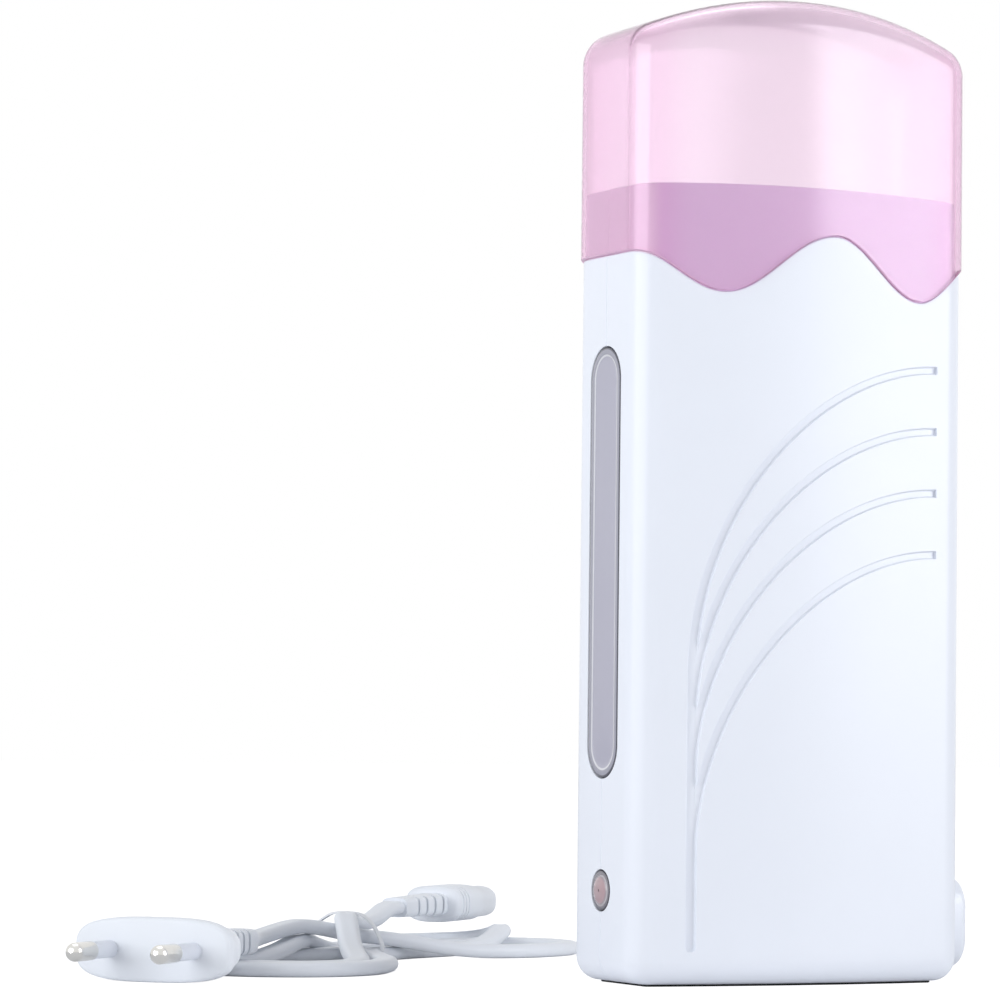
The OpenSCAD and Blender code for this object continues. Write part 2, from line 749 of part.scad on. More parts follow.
module lamp_wires() color([0.9, 0.9, 0.9]) {
    y = lamp_pitch / 2;
    wire([[lamp_end + joint_gap, y, light_z], [resistor_x - joint_gap, y, light_z]], lamp_wire_d);
    wire([
        [resistor_end + joint_gap, y, light_z], [resistor_end + 3, y, light_z], [tag_x - 15, 1.6, live_z],
        [tag_x - 5, 1.6, live_z - 2.4], [tag_x - 1, y, live_z - 1.4], [tag_x + 2, 1, live_z - tag_hold]
    ], lamp_wire_d);
    wire([
        [lamp_end + joint_gap, -y, light_z], [lamp_end + 3, -y, light_z],
        [sleeve_mid_x - 6, -y, neutral_z + 2], [tag_x - 13, -y, neutral_z + 1],
        [tag_x - 2, -y, neutral_z + 1.6], [tag_x + 2, -1, neutral_z + tag_hold]
    ], lamp_wire_d);
}

recess_w = 3.1;
recess_l = 0.8;
recess_t = 0.7;
module housing_screws() color(metal) for (p = screws) translate([p[0], 0, p[1]]) {
    seat = seat_y(p[0]);
    along_y(screw_tip_y, seat + e, screw_d);
    difference() {
        along_y(seat, seat + screw_head_h, screw_head_d);
        for (a = [0, 90]) translate([0, seat + screw_head_h, 0]) rotate([0, a, 0])
            cube([recess_w, 2 * recess_l, recess_t], center = true);
    }
}

// Mains lead: it lies on the table behind the left side, folded into a tied
// hank. Its pieces are drawn along X from the tips of the plug's pins and then
// turned and moved to where they lie.
lead_x = -144;
lead_y = 14;
lead_turn = 45;
module laid() translate([lead_x, lead_y, 0]) rotate([0, 0, lead_turn]) children();

plug_z = plug_t / 2;
plug_s = pin_l;                    // face of the plug
relief_s = plug_s + plug_l;
relief_l = 18;
relief_w0 = 11;
relief_w1 = 9;
relief_t = 7;
rim_l = 4;
rim_step = 0.8;
core_d = 3;                        // pins inside their insulating sleeves
pin_hold = 7;                      // how deep the pins are moulded in
sleeve_step = 0.4;                 // the sleeved stretch is thinner by this
shoulder_bend = 1.5;               // above 1 the shoulders sit nearer the cord
shoulder_steps = 14;

// A lying oval, drawn in (Y, Z).
module oval(w, t) {
    square([w - t, t], center = true);
    for (s = [-1, 1]) translate([s * (w - t) / 2, 0]) circle(d = t);
}

function plug_half(u) = relief_w0 / 2
    + (plug_w / 2 - rim_step - relief_w0 / 2) * (1 + cos(180 * pow(u, shoulder_bend))) / 2;

module plug_body() color(white) laid() difference() {
    union() {
        along_x(plug_s, plug_s + rim_l) translate([0, plug_z]) oval(plug_w, plug_t);
        intersection() {
            along_x(plug_s + rim_l - e, relief_s)
                translate([0, plug_z]) oval(plug_w - 2 * rim_step, plug_t - 2 * rim_step);
            linear_extrude(plug_t) for (m = [0, 1]) mirror([0, m]) polygon([
                for (i = [0:shoulder_steps])
                    [plug_s + plug_l * i / shoulder_steps, plug_half(i / shoulder_steps)],
                [relief_s, 0], [plug_s, 0]
            ]);
        }
    }
    for (s = [-1, 1]) along_x(plug_s - 1, plug_s + pin_hold)
        translate([s * pin_pitch / 2, plug_z]) circle(d = core_d + 2 * lens_gap);
}

// A strain relief with slots cut into it from either side in turn.
relief_slots = 4;
relief_slot_w = 1.4;
relief_cut = 0.31;                 // depth of a slot as a share of the width
module relief_bar(l, w0, w1, t, z) {
    pitch = l / (relief_slots + 1);
    difference() {
        translate([0, 0, z - t / 2]) linear_extrude(t)
            polygon([[0, -w0 / 2], [l, -w1 / 2], [l, w1 / 2], [0, w0 / 2]]);
        for (i = [1:relief_slots], s = [-1, 1])
            translate([pitch * (i - (1 - s) / 4), s * w0 / 2, z])
                cube([relief_slot_w, 2 * relief_cut * w0, t + 1], center = true);
    }
}

module plug_relief() color(white) laid()
    translate([relief_s, 0, 0]) relief_bar(relief_l, relief_w0, relief_w1, relief_t, plug_z);

module plug_pins() color(metal) laid() for (s = [-1, 1]) {
    bare = pin_l - pin_sleeve_l;
    translate([bare, s * pin_pitch / 2, plug_z]) mirror([1, 0, 0]) domed_bar(bare, pin_d);
    along_x(bare - e, plug_s + pin_hold) translate([s * pin_pitch / 2, plug_z]) circle(d = core_d);
}

module pin_sleeves() color(white) laid() for (s = [-1, 1])
    along_x(pin_l - pin_sleeve_l, pin_l) translate([s * pin_pitch / 2, plug_z]) difference() {
        circle(d = pin_d - sleeve_step);
        circle(d = core_d + 2 * lens_gap);
    }

// Connector, lying on the hank's top at its far end.
hank_low = 0.2;
hank_h = hank_low + 2 * cord_t;
connector_s1 = 211;                // its mouth
connector_s0 = connector_s1 - connector_l;
connector_z = hank_h + flat_gap + connector_t / 2;
tail_l = 25;
tail_w0 = 8.4;
tail_w1 = 6.4;
tail_t = 5.4;
socket_d = contact_d + 0.1;
contact_tube_d = 3.8;
contact_tube_l = 16;
mouth_l = 1.5;

module at_contacts() for (s = [-1, 1]) translate([s * contact_pitch / 2, connector_z]) children();

module connector_body() color(white) laid() difference() {
    along_x(connector_s0, connector_s1) translate([0, connector_z]) oval(connector_w, connector_t);
    along_x(connector_s1 - mouth_l - 1, connector_s1 + 1) at_contacts() circle(d = socket_d);
    along_x(connector_s1 - mouth_l - contact_tube_l, connector_s1 - mouth_l)
        at_contacts() circle(d = contact_tube_d + 2 * lens_gap);
}

module connector_relief() color(white) laid()
    translate([connector_s0, 0, 0]) mirror([1, 0, 0])
        relief_bar(tail_l, tail_w0, tail_w1, tail_t, connector_z);

module connector_contacts() color(brass) laid()
    along_x(connector_s1 - mouth_l - contact_tube_l, connector_s1 - mouth_l) at_contacts() difference() {
        circle(d = contact_tube_d);
        circle(d = socket_d);
    }

plug_route = [[66.05, 0, 6.8], [68, 0, 6.8], [70, 0.1, 6.8], [74, 1.6, 6.6], [79, 4.5, 5.8], [84, 6.5, 4.6]];
connector_route = [
    [137, -3, 5], [142, -2, 6.4], [148, -0.6, 9.2], [153, 0, 11], [155.5, 0, 11.1], [157.95, 0, 11.1]
];

module plug_lead() color(white) laid() flat_cord(plug_route);

module connector_lead() color(white) laid() flat_cord(connector_route);

// Hank: two rounded lobes and a waist where the tie holds the runs together.
waist_s = 122;
waist_l = 16;
waist_w = 16;
waist_h = 9.2;
waist_low = 0.7;
near_lobe = [74, -5, 25];
far_lobe = [178, -9, 23];

module hank_plan() {
    for (c = [near_lobe, far_lobe]) translate([c[0], c[1]]) circle(c[2]);
    polygon([
        [near_lobe[0], near_lobe[1] + near_lobe[2]], [waist_s - waist_l / 2, waist_w / 2],
        [waist_s + waist_l / 2, waist_w / 2], [far_lobe[0], far_lobe[1] + far_lobe[2]],
        [far_lobe[0], far_lobe[1] - far_lobe[2]], [waist_s + waist_l / 2, -waist_w / 2],
        [waist_s - waist_l / 2, -waist_w / 2], [near_lobe[0], near_lobe[1] - near_lobe[2]]
    ]);
}

module waist_box(s0, s1, low, high, grow) {
    translate([s0, -waist_w / 2 - grow, low - grow])
        cube([s1 - s0, waist_w + 2 * grow, high - low + 2 * grow]);
}

module cord_hank() color(white) laid() union() {
    difference() {
        translate([0, 0, hank_low]) linear_extrude(hank_h - hank_low) hank_plan();
        waist_box(waist_s - waist_l / 2, waist_s + waist_l / 2, -1, hank_h + 1, 1);
        translate([near_lobe[0] - near_lobe[2] - 1, -relief_w0 / 2 - 1, cord_t])
            cube([relief_s + relief_l + 2 - near_lobe[0] + near_lobe[2], relief_w0 + 2, hank_h]);
    }
    waist_box(waist_s - waist_l / 2 - e, waist_s + waist_l / 2 + e, waist_low, waist_h, 0);
}

tie_w = 2.4;
tie_t = 0.6;
module cord_tie() color([0.93, 0.94, 0.95]) laid() {
    difference() {
        waist_box(waist_s - tie_w / 2, waist_s + tie_w / 2, waist_low, waist_h, tie_t + 0.05);
        waist_box(waist_s - tie_w, waist_s + tie_w, waist_low, waist_h, 0.05);
    }
    translate([waist_s - tie_w / 2, waist_w / 2 + tie_t, waist_h - 2]) cube([tie_w, 7, tie_t]);
}

front_shell();
rear_shell();
foot_pad();
cap();
top_frame();
wax_sleeve();
window_lens();
indicator_lens();
indicator_lamp();
lamp_resistor();
heating_plate();
heater_clip();
insulating_sheet();
thermostat();
thermostat_bracket();
thermal_fuse();
inlet_socket();
inlet_contacts();
live_wire();
neutral_wire();
switched_wire();
lamp_wires();
housing_screws();
plug_body();
plug_relief();
plug_pins();
pin_sleeves();
connector_body();
connector_relief();
connector_contacts();
plug_lead();
cord_hank();
connector_lead();
cord_tie();
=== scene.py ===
"""Looks of the roll-on wax heater: camera, mains lead, housing, clear cap, window, light and inlet.

Lengths in the functions are millimetres in the part's own frame; finish_piece() turns them into metres.
"""

from math import asin, atan2, cos, hypot, pi, radians, sin, sqrt

import bmesh
import bpy
import numpy as np
from mathutils import Matrix, Vector


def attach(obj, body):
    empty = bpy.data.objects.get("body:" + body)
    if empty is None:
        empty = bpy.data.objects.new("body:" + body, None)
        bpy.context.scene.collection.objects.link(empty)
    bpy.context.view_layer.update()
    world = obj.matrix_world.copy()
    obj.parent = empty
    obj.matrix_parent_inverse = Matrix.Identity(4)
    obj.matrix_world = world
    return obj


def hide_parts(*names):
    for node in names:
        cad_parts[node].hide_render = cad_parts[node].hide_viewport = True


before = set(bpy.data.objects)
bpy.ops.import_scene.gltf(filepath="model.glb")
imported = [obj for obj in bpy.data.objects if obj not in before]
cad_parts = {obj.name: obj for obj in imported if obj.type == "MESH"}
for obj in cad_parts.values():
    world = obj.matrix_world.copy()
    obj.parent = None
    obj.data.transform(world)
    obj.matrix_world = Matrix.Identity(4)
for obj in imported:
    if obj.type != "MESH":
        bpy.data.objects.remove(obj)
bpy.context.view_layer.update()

MM = 0.001
WINDOW_LOW_Z = 43.4
WINDOW_TOP_Z = 135.3
WINDOW_HALF = 7.2
LIGHT_Z = 19.8
LIGHT_R = 4.45

# Camera -----------------------------------------------------------------------

camera_data = bpy.data.cameras.new("camera")
camera_data.lens = 160.07
camera_data.sensor_width = 36
camera_data.clip_end = 20
camera = bpy.data.objects.new("camera", camera_data)
bpy.context.collection.objects.link(camera)
camera.matrix_world = (
    Matrix.Translation((-0.45898, -0.84570, 0.05259))
    @ Matrix.Rotation(radians(-25.007), 4, "Z")
    @ Matrix.Rotation(radians(90 + 3.012), 4, "X")
    @ Matrix.Rotation(radians(0.666), 4, "Z")
)
bpy.context.scene.camera = camera


# Finishes ---------------------------------------------------------------------


class Value:
    """A number that changes over a surface. Python arithmetic on it adds Math nodes."""

    def __init__(self, finish, socket):
        self.finish, self.socket = finish, socket

    def _with(self, operation, *others):
        return self.finish.add("Math", {"operation": operation}, *others)

    def __add__(self, other):
        return self._with("ADD", self, other)

    def __radd__(self, other):
        return self._with("ADD", other, self)

    def __sub__(self, other):
        return self._with("SUBTRACT", self, other)

    def __rsub__(self, other):
        return self._with("SUBTRACT", other, self)

    def __mul__(self, other):
        return self._with("MULTIPLY", self, other)

    def __rmul__(self, other):
        return self._with("MULTIPLY", other, self)

    def __truediv__(self, other):
        return self._with("DIVIDE", self, other)

    def __pow__(self, other):
        return self._with("POWER", self, other)

    def __neg__(self):
        return self._with("MULTIPLY", self, -1)

    def size(self):
        return self._with("ABSOLUTE", self)

    def ramp(self, low, high):
        """0 below low, 1 above high and a smooth rise between."""
        return self.finish.add(
            "MapRange", {"interpolation_type": "SMOOTHSTEP"}, self, low, high, 0.0, 1.0
        )


class Finish:
    """A material on one Principled shader. Constants go straight to the shader's sockets."""

    def __init__(self, name, **constants):
        self.material = bpy.data.materials.new(name)
        self.material.use_nodes = True
        self.tree = self.material.node_tree
        self.shader = self.tree.nodes["Principled BSDF"]
        for socket, value in constants.items():
            self.feed(socket.replace("_", " "), value)

    def add(self, kind, settings, *values, out=0):
        """Adds a shader node: its settings first, then the values or links of its sockets."""
        node = self.tree.nodes.new("ShaderNode" + kind)
        for name, setting in settings.items():
            if name == "stops":
                ends = node.color_ramp.elements
                ends[0].position, ends[0].color = setting[0][0], (*setting[0][1], 1)
                ends[1].position, ends[1].color = setting[-1][0], (*setting[-1][1], 1)
                for place, color in setting[1:-1]:
                    ends.new(place).color = (*color, 1)
            else:
                setattr(node, name, setting)
        sockets = [s for s in node.inputs if s.enabled]
        for socket, value in zip(sockets, values):
            self._join(value, socket)
        outputs = [s for s in node.outputs if s.enabled]
        return Value(self, outputs[out])

    def _join(self, value, socket):
        if isinstance(value, Value):
            self.tree.links.new(value.socket, socket)
        elif value is not None:
            if socket.type == "RGBA" and len(value) == 3:
                value = (*value, 1)
            socket.default_value = value

    def feed(self, socket, value):
        self._join(value, self.shader.inputs[socket])
        return self

    def place(self):
        """Object coordinates, in metres."""
        return self.add("TexCoord", {}, out=3)

    def axes(self):
        split = self.tree.nodes.new("ShaderNodeSeparateXYZ")
        self._join(self.place(), split.inputs[0])
        return [Value(self, s) for s in split.outputs]

    def noise(self, scale, detail=3.0, roughness=0.5, at=None):
        place = self.place() if at is None else at
        return self.add("TexNoise", {}, place, scale, detail, roughness)

    def mix(self, share, a, b):
        return self.add("Mix", {"data_type": "RGBA"}, share, a, b)

    def bump(self, height, strength, distance):
        """Raises the surface by height times distance, in metres."""
        node = self.tree.nodes.new("ShaderNodeBump")
        node.inputs["Strength"].default_value = strength
        node.inputs["Distance"].default_value = distance
        self._join(height, node.inputs["Height"])
        self.tree.links.new(node.outputs["Normal"], self.shader.inputs["Normal"])
        return self


def moulded(name, color, roughness, shift=0.03, grain=1400, grain_depth=6e-6, **constants):
    """Injection-moulded plastic: faint clouding of the colour and a fine uneven gloss."""
    finish = Finish(name, **constants)
    cloud = finish.noise(28, 2.0)
    darker = tuple(c * (1 - shift) for c in color)
    finish.feed("Base Color", finish.mix(cloud.ramp(0.3, 0.7), darker, color))
    handled = finish.noise(160, 4.0)
    finish.feed("Roughness", roughness * 0.85 + handled * roughness * 0.3)
    finish.bump(finish.noise(grain, 2.0), 0.35, grain_depth)
    return finish


def drawn_metal(name, color, roughness, along=(1, 1, 30), **constants):
    """Rolled or drawn metal: fine lines across the roughness and the colour."""
    finish = Finish(name, Metallic=1.0, **constants)
    stretched = finish.add("VectorMath", {"operation": "MULTIPLY"}, finish.place(), along)
    lines = finish.noise(240, 4.0, at=stretched)
    finish.feed("Base Color", finish.mix(lines, tuple(c * 0.86 for c in color), color))
    finish.feed("Roughness", roughness * 0.7 + lines * roughness * 0.6)
    return finish.bump(lines, 0.25, 4e-6)


housing_white = moulded(
    "housing_white", (0.86, 0.89, 0.96), 0.3, shift=0.012, Coat_Weight=0.12, Coat_Roughness=0.2
)
# The neck is white plastic. Its lilac base colour is painted shade under the cap, and its lighter ends, past 34 mm
# from the middle, are painted light.
neck_white = moulded("neck_white", (0.9, 0.75, 0.96), 0.34, shift=0.012, Coat_Weight=0.12, Coat_Roughness=0.2)
neck_sides_painted_light = (neck_white.axes()[0] * 1000).size().ramp(34, 37.5)
neck_front_painted_shade = neck_white.mix(neck_white.noise(28, 2.0).ramp(0.3, 0.7), (0.9, 0.7, 0.95), (0.91, 0.72, 0.96))
neck_white.feed("Base Color", neck_white.mix(neck_sides_painted_light, neck_front_painted_shade, (0.97, 0.92, 0.98)))
vinyl_white = moulded("vinyl_white", (0.83, 0.86, 0.91), 0.42, shift=0.03, grain=900, grain_depth=1.2e-5)
tie_white = moulded("tie_white", (0.83, 0.85, 0.88), 0.5, grain=1800)
pad_black = moulded("pad_black", (0.012, 0.012, 0.014), 0.7, shift=0.3, grain=700, grain_depth=4e-5)
sleeve_grey = moulded("pin_sleeve_white", (0.72, 0.75, 0.82), 0.45)
phenolic_black = moulded("phenolic_black", (0.03, 0.028, 0.025), 0.5, shift=0.3)
live_red = moulded("live_cover_red", (0.55, 0.06, 0.04), 0.4)
neutral_blue = moulded("neutral_cover_blue", (0.04, 0.12, 0.5), 0.4)
lead_white = moulded("lead_cover_white", (0.8, 0.8, 0.8), 0.4)
resistor_tan = moulded("resistor_tan", (0.5, 0.33, 0.14), 0.35, shift=0.15)
sheet_cloth = moulded("insulating_cloth", (0.78, 0.74, 0.6), 0.8, shift=0.12, grain=2600, grain_depth=3e-5)
sleeve_metal = drawn_metal("chamber_aluminium", (0.76, 0.77, 0.79), 0.32)
heater_metal = drawn_metal("heater_aluminium", (0.8, 0.78, 0.72), 0.4)
spring_metal = drawn_metal("spring_steel", (0.55, 0.56, 0.58), 0.3, along=(30, 1, 1))
screw_metal = drawn_metal("zinc_steel", (0.66, 0.67, 0.68), 0.3, along=(1, 1, 1))
contact_metal = drawn_metal("nickel_plate", (0.78, 0.77, 0.74), 0.2, along=(1, 1, 1))
brass_metal = drawn_metal("brass", (0.78, 0.58, 0.25), 0.28, along=(1, 1, 1))
fuse_metal = drawn_metal("fuse_can", (0.72, 0.7, 0.64), 0.3)

cap_pink = Finish("cap_pink", Transmission_Weight=0.95, IOR=1.42)
cap_cloud = cap_pink.noise(22, 2.0)
cap_middle = cap_pink.mix(cap_cloud, (0.97, 0.955, 0.965), (0.98, 0.965, 0.975))
cap_ends = (cap_pink.axes()[0] * 1000).size().ramp(27, 39.5)
cap_pink.feed("Base Color", cap_pink.mix(cap_ends, cap_middle, (0.95, 0.85, 0.915)))
cap_pink.feed("Roughness", 0.10 + cap_pink.noise(120, 3.0) * 0.04)
cap_depth = cap_pink.tree.nodes.new("ShaderNodeVolumeAbsorption")
cap_depth.inputs["Color"].default_value = (0.92, 0.12, 0.74, 1)
cap_depth.inputs["Density"].default_value = 88
cap_pink.tree.links.new(
    cap_depth.outputs[0], cap_pink.tree.nodes["Material Output"].inputs["Volume"]
)
cap_rim = moulded("cap_rim_pink", (0.93, 0.62, 0.80), 0.3, shift=0.04)

# The lenses' colour bands follow the distance from their middles, in millimetres; the light lines among them are
# painted highlights.
window_lilac = Finish("window_lilac", Transmission_Weight=0.2, IOR=1.45, Coat_Weight=0.3, Coat_Roughness=0.06)
_, across, upward = window_lilac.axes()
past_ends = window_lilac.add(
    "Clamp", {}, upward, (WINDOW_LOW_Z + WINDOW_HALF) * MM, (WINDOW_TOP_Z - WINDOW_HALF) * MM
) - upward
window_inset = WINDOW_HALF - (across * across + past_ends * past_ends) ** 0.5 * 1000
window_cloud = window_lilac.noise(40, 3.0)
window_field = window_lilac.mix(window_cloud, (0.50, 0.49, 0.60), (0.56, 0.55, 0.65))
window_border = window_lilac.mix(window_inset.ramp(0.55, 0.8), (0.13, 0.13, 0.16), (0.42, 0.42, 0.50))
# The light line just inside the sunk field's edge is a painted highlight of the lens step.
window_painted_highlight = window_inset.ramp(1.7, 1.85) - window_inset.ramp(2.1, 2.3)
window_zone = window_lilac.mix(window_inset.ramp(1.8, 2.1), window_border, window_field)
window_lilac.feed("Base Color", window_lilac.mix(window_painted_highlight, window_zone, (0.86, 0.86, 0.9)))
window_lilac.feed("Roughness", 0.16 + window_lilac.noise(200, 3.0) * 0.1)

light_rose = Finish("light_rose", Transmission_Weight=0.25, IOR=1.45, Coat_Weight=0.4, Coat_Roughness=0.05)
_, across, upward = light_rose.axes()
upward = upward - LIGHT_Z * MM
light_r = (across * across + upward * upward) ** 0.5 * 1000
light_cloud = light_rose.noise(150, 2.0)
light_field = light_rose.mix(light_cloud, (0.56, 0.35, 0.37), (0.63, 0.48, 0.52))
light_edge = light_rose.mix(light_r.ramp(2.4, 3.2), light_field, (0.45, 0.41, 0.45))
light_border = light_rose.mix(light_r.ramp(3.3, 3.6), light_edge, (0.26, 0.25, 0.29))
light_rim = light_rose.mix(light_r.ramp(3.85, 4.2), light_border, (0.07, 0.065, 0.08))
# The pale ring over the lens step is a painted highlight.
lamp_ring_painted_highlight = light_r.ramp(2.95, 3.1) - light_r.ramp(3.25, 3.4)
light_ring_highlighted = light_rose.mix(lamp_ring_painted_highlight, light_rim, (0.72, 0.69, 0.72))
light_rose.feed("Base Color", light_rose.mix(light_r.ramp(0.16, 0.34), (0.04, 0.03, 0.035), light_ring_highlighted))
light_rose.feed("Roughness", 0.12 + light_rose.noise(400, 2.0) * 0.1)

lamp_glow = Finish("lamp_glass", Transmission_Weight=0.5, IOR=1.45)
lamp_glow.feed("Base Color", lamp_glow.mix(lamp_glow.noise(300, 2.0), (0.5, 0.12, 0.06), (0.7, 0.2, 0.1)))
lamp_glow.feed("Roughness", 0.1 + lamp_glow.noise(500, 2.0) * 0.1)


# Plain shape helpers ------------------------------------------------------------


def finish_piece(name, bm, finish, replaces=(), body="root", sharp=38, sound=True):
    """Makes a piece of a mesh drawn in millimetres."""
    bmesh.ops.remove_doubles(bm, verts=bm.verts, dist=0.0005)
    if sound:
        bmesh.ops.recalc_face_normals(bm, faces=bm.faces)
    bmesh.ops.scale(bm, vec=(MM, MM, MM), verts=bm.verts)
    mesh = bpy.data.meshes.new(name)
    bm.to_mesh(mesh)
    bm.free()
    mesh.materials.append(finish.material)
    mesh.shade_smooth()
    mesh.set_sharp_from_angle(angle=radians(sharp))
    piece = bpy.data.objects.new(name, mesh)
    bpy.context.collection.objects.link(piece)
    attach(piece, body)
    if replaces:
        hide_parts(*replaces)
    return piece


def loop_of(bm, points):
    """A closed loop of edges through the points."""
    verts = [bm.verts.new(p) for p in points]
    for i, v in enumerate(verts):
        bm.edges.new((v, verts[(i + 1) % len(verts)]))
    return verts


def row_of(bm, points):
    """An open row of edges through the points."""
    verts = [bm.verts.new(p) for p in points]
    for a, b in zip(verts, verts[1:]):
        bm.edges.new((a, b))
    return verts


def pull_row(bm, verts, points):
    """Extrudes a row or loop of edges and moves its new copy to the points."""
    chosen = set(verts)
    edges = {e for v in verts for e in v.link_edges if e.other_vert(v) in chosen}
    ahead = set(zip(verts, verts[1:] + verts[:1]))
    edges = [e for e in edges if tuple(e.verts) in ahead or tuple(reversed(e.verts)) in ahead]
    made = bmesh.ops.extrude_edge_only(bm, edges=edges)["geom"]
    fresh = [v for v in made if isinstance(v, bmesh.types.BMVert)]
    partner = {}
    for v in fresh:
        for e in v.link_edges:
            if e.other_vert(v) in chosen:
                partner[e.other_vert(v)] = v
    out = [partner[v] for v in verts]
    for v, p in zip(out, points):
        v.co = p
    return out


def loft(bm, rows, closed=True):
    """Joins rows of points, each pulled from the one before. Gives the first and last row."""
    first = (loop_of if closed else row_of)(bm, rows[0])
    last = first
    for points in rows[1:]:
        last = pull_row(bm, last, points)
    return first, last


def slot_points(half, low, high, x, steps=20):
    """A slot shape with round ends in the plane at x, upright along Z."""
    points = []
    for i in range(steps):
        a = pi * (i + 0.5) / steps
        points.append((x, half * cos(a), high - half + half * sin(a)))
    for i in range(steps):
        a = pi + pi * (i + 0.5) / steps
        points.append((x, half * cos(a), low + half + half * sin(a)))
    return points


def solid_slot(half, low, high, steps, steppings):
    """A slot-shaped cutter along X, wider by a step from each place on: (x, wider)."""
    bm = bmesh.new()
    first, last = loft(bm, [slot_points(half + w, low - w, high + w, x, steps) for x, w in steppings])
    bm.faces.new(first)
    bm.faces.new(last)
    bmesh.ops.recalc_face_normals(bm, faces=bm.faces)
    return bm


def solid_bar(r, start, end, steps=40):
    """A round bar between two points."""
    bm = bmesh.new()
    start, end = Vector(start), Vector(end)
    way = end - start
    turn = way.to_track_quat("Z", "Y").to_matrix().to_4x4()
    bmesh.ops.create_cone(
        bm, cap_ends=True, segments=steps, radius1=r, radius2=r, depth=way.length,
        matrix=Matrix.Translation((start + end) / 2) @ turn,
    )
    return bm


def carve(piece, tools, operation="DIFFERENCE"):
    """Cuts shapes drawn in millimetres out of a piece, or joins them to it, all in one step."""
    joined = bmesh.new()
    for bm in tools:
        bmesh.ops.scale(bm, vec=(MM, MM, MM), verts=bm.verts)
        bmesh.ops.triangulate(bm, faces=bm.faces)
        mesh = bpy.data.meshes.new("tool")
        bm.to_mesh(mesh)
        bm.free()
        joined.from_mesh(mesh)
        bpy.data.meshes.remove(mesh)
    mesh = bpy.data.meshes.new("tool")
    joined.to_mesh(mesh)
    joined.free()
    tool = bpy.data.objects.new("tool", mesh)
    bpy.context.collection.objects.link(tool)
    step = piece.modifiers.new("carve", "BOOLEAN")
    step.object, step.operation, step.solver, step.use_self = tool, operation, "EXACT", True
    bpy.context.view_layer.update()
    shaped = bpy.data.meshes.new_from_object(piece.evaluated_get(bpy.context.evaluated_depsgraph_get()))
    piece.modifiers.clear()
    plain, piece.data = piece.data, shaped
    shaped.name = plain.name + "_carved"
    bpy.data.objects.remove(tool)
    for spare in (plain, mesh):
        bpy.data.meshes.remove(spare)
    while len(shaped.materials) > 1:
        shaped.materials.pop()
    return piece


def soften(piece, width, segments=2, angle=38):
    """Rounds a piece's sharp edges by a width in millimetres."""
    step = piece.modifiers.new("soften", "BEVEL")
    step.width, step.segments, step.limit_method = width * MM, segments, "ANGLE"
    step.angle_limit = radians(angle)
    step.use_clamp_overlap = True
    step.harden_normals = False
    return piece


# Housing ------------------------------------------------------------------------

BODY_W = 80
BODY_D = 37.2
CORNER_R = 6.5
BOW_R = 246
FOOT_R = 5
WALL = 2.4
FOOT_LINE = 0.45
FLOOR_Z = 3.2
NECK_TOP = 169.8
NECK_ARCH_R = 810
NECK_INSET = 1.05

corner_x = BODY_W / 2 - CORNER_R
bow_y = BOW_R - BODY_D / 2
corner_y = sqrt((BOW_R - CORNER_R) ** 2 - corner_x**2) - bow_y
corner_a = atan2(corner_y + bow_y, corner_x)

LINE_Z = 154.8
WAVE = [(-42, LINE_Z), (-21, LINE_Z - 8.3), (5.5, LINE_Z + 4.7), (27, LINE_Z - 8.3), (42, LINE_Z)]


def wave_at(x):
    """Height of the wavy joint line."""
    for (x0, z0), (x1, z1) in zip(WAVE, WAVE[1:]):
        if x <= x1 or x1 == WAVE[-1][0]:
            return z0 + (z1 - z0) * (1 - cos(pi * (x - x0) / (x1 - x0))) / 2


def neck_at(x):
    """Height of the neck's rim."""
    return NECK_TOP - NECK_ARCH_R + sqrt(NECK_ARCH_R**2 - x * x)


def bow_at(x, inset=0):
    """How far the bowed front and rear stand from the parting plane at x."""
    return sqrt((BOW_R - inset) ** 2 - x * x) - bow_y


def half_plan(side_y, corner_steps=12, bow_steps=56):
    """Half of the housing's plan, from the left side over the front to the right side.

    Each entry is a centre, an outward direction and a radius, so that the plan can be drawn at any inset.
    """
    spots = [((-corner_x, y), (-1, 0), CORNER_R) for y in side_y]
    start, sweep = pi, corner_a
    for i in range(1, corner_steps + 1):
        a = start + sweep * i / corner_steps
        spots.append(((-corner_x, -corner_y), (cos(a), sin(a)), CORNER_R))
    bow = pi / 2 - corner_a
    for i in range(1, bow_steps):
        b = -bow + 2 * bow * i / bow_steps
        spots.append(((0, bow_y), (sin(b), -cos(b)), BOW_R))
    for (x, y), (nx, ny), r in reversed(spots[: len(side_y) + corner_steps]):
        spots.append(((-x, y), (-nx, ny), r))
    return spots


def draw_plan(spots, inset, height):
    points = []
    for (cx, cy), (nx, ny), r in spots:
        x, y = cx + (r - inset) * nx, cy + (r - inset) * ny
        points.append((x, y, height(x)))
    return points


# Grooves of the front, as in the solid: a stem and four arches that leave it.
STEM_X = -27.3
TIP_X = 31.8
STEM_LOW_Z = 7.5
TOP_TIP_Z = 132.1
ARCH_PITCH = 13.3
ARCH_DROPS = (65, 62.5, 61, 65)
ARCH_BEND = 1.9
STEM_WIDTH = 2.3
TIP_WIDTH = 1.6
GROOVE_T = 0.8


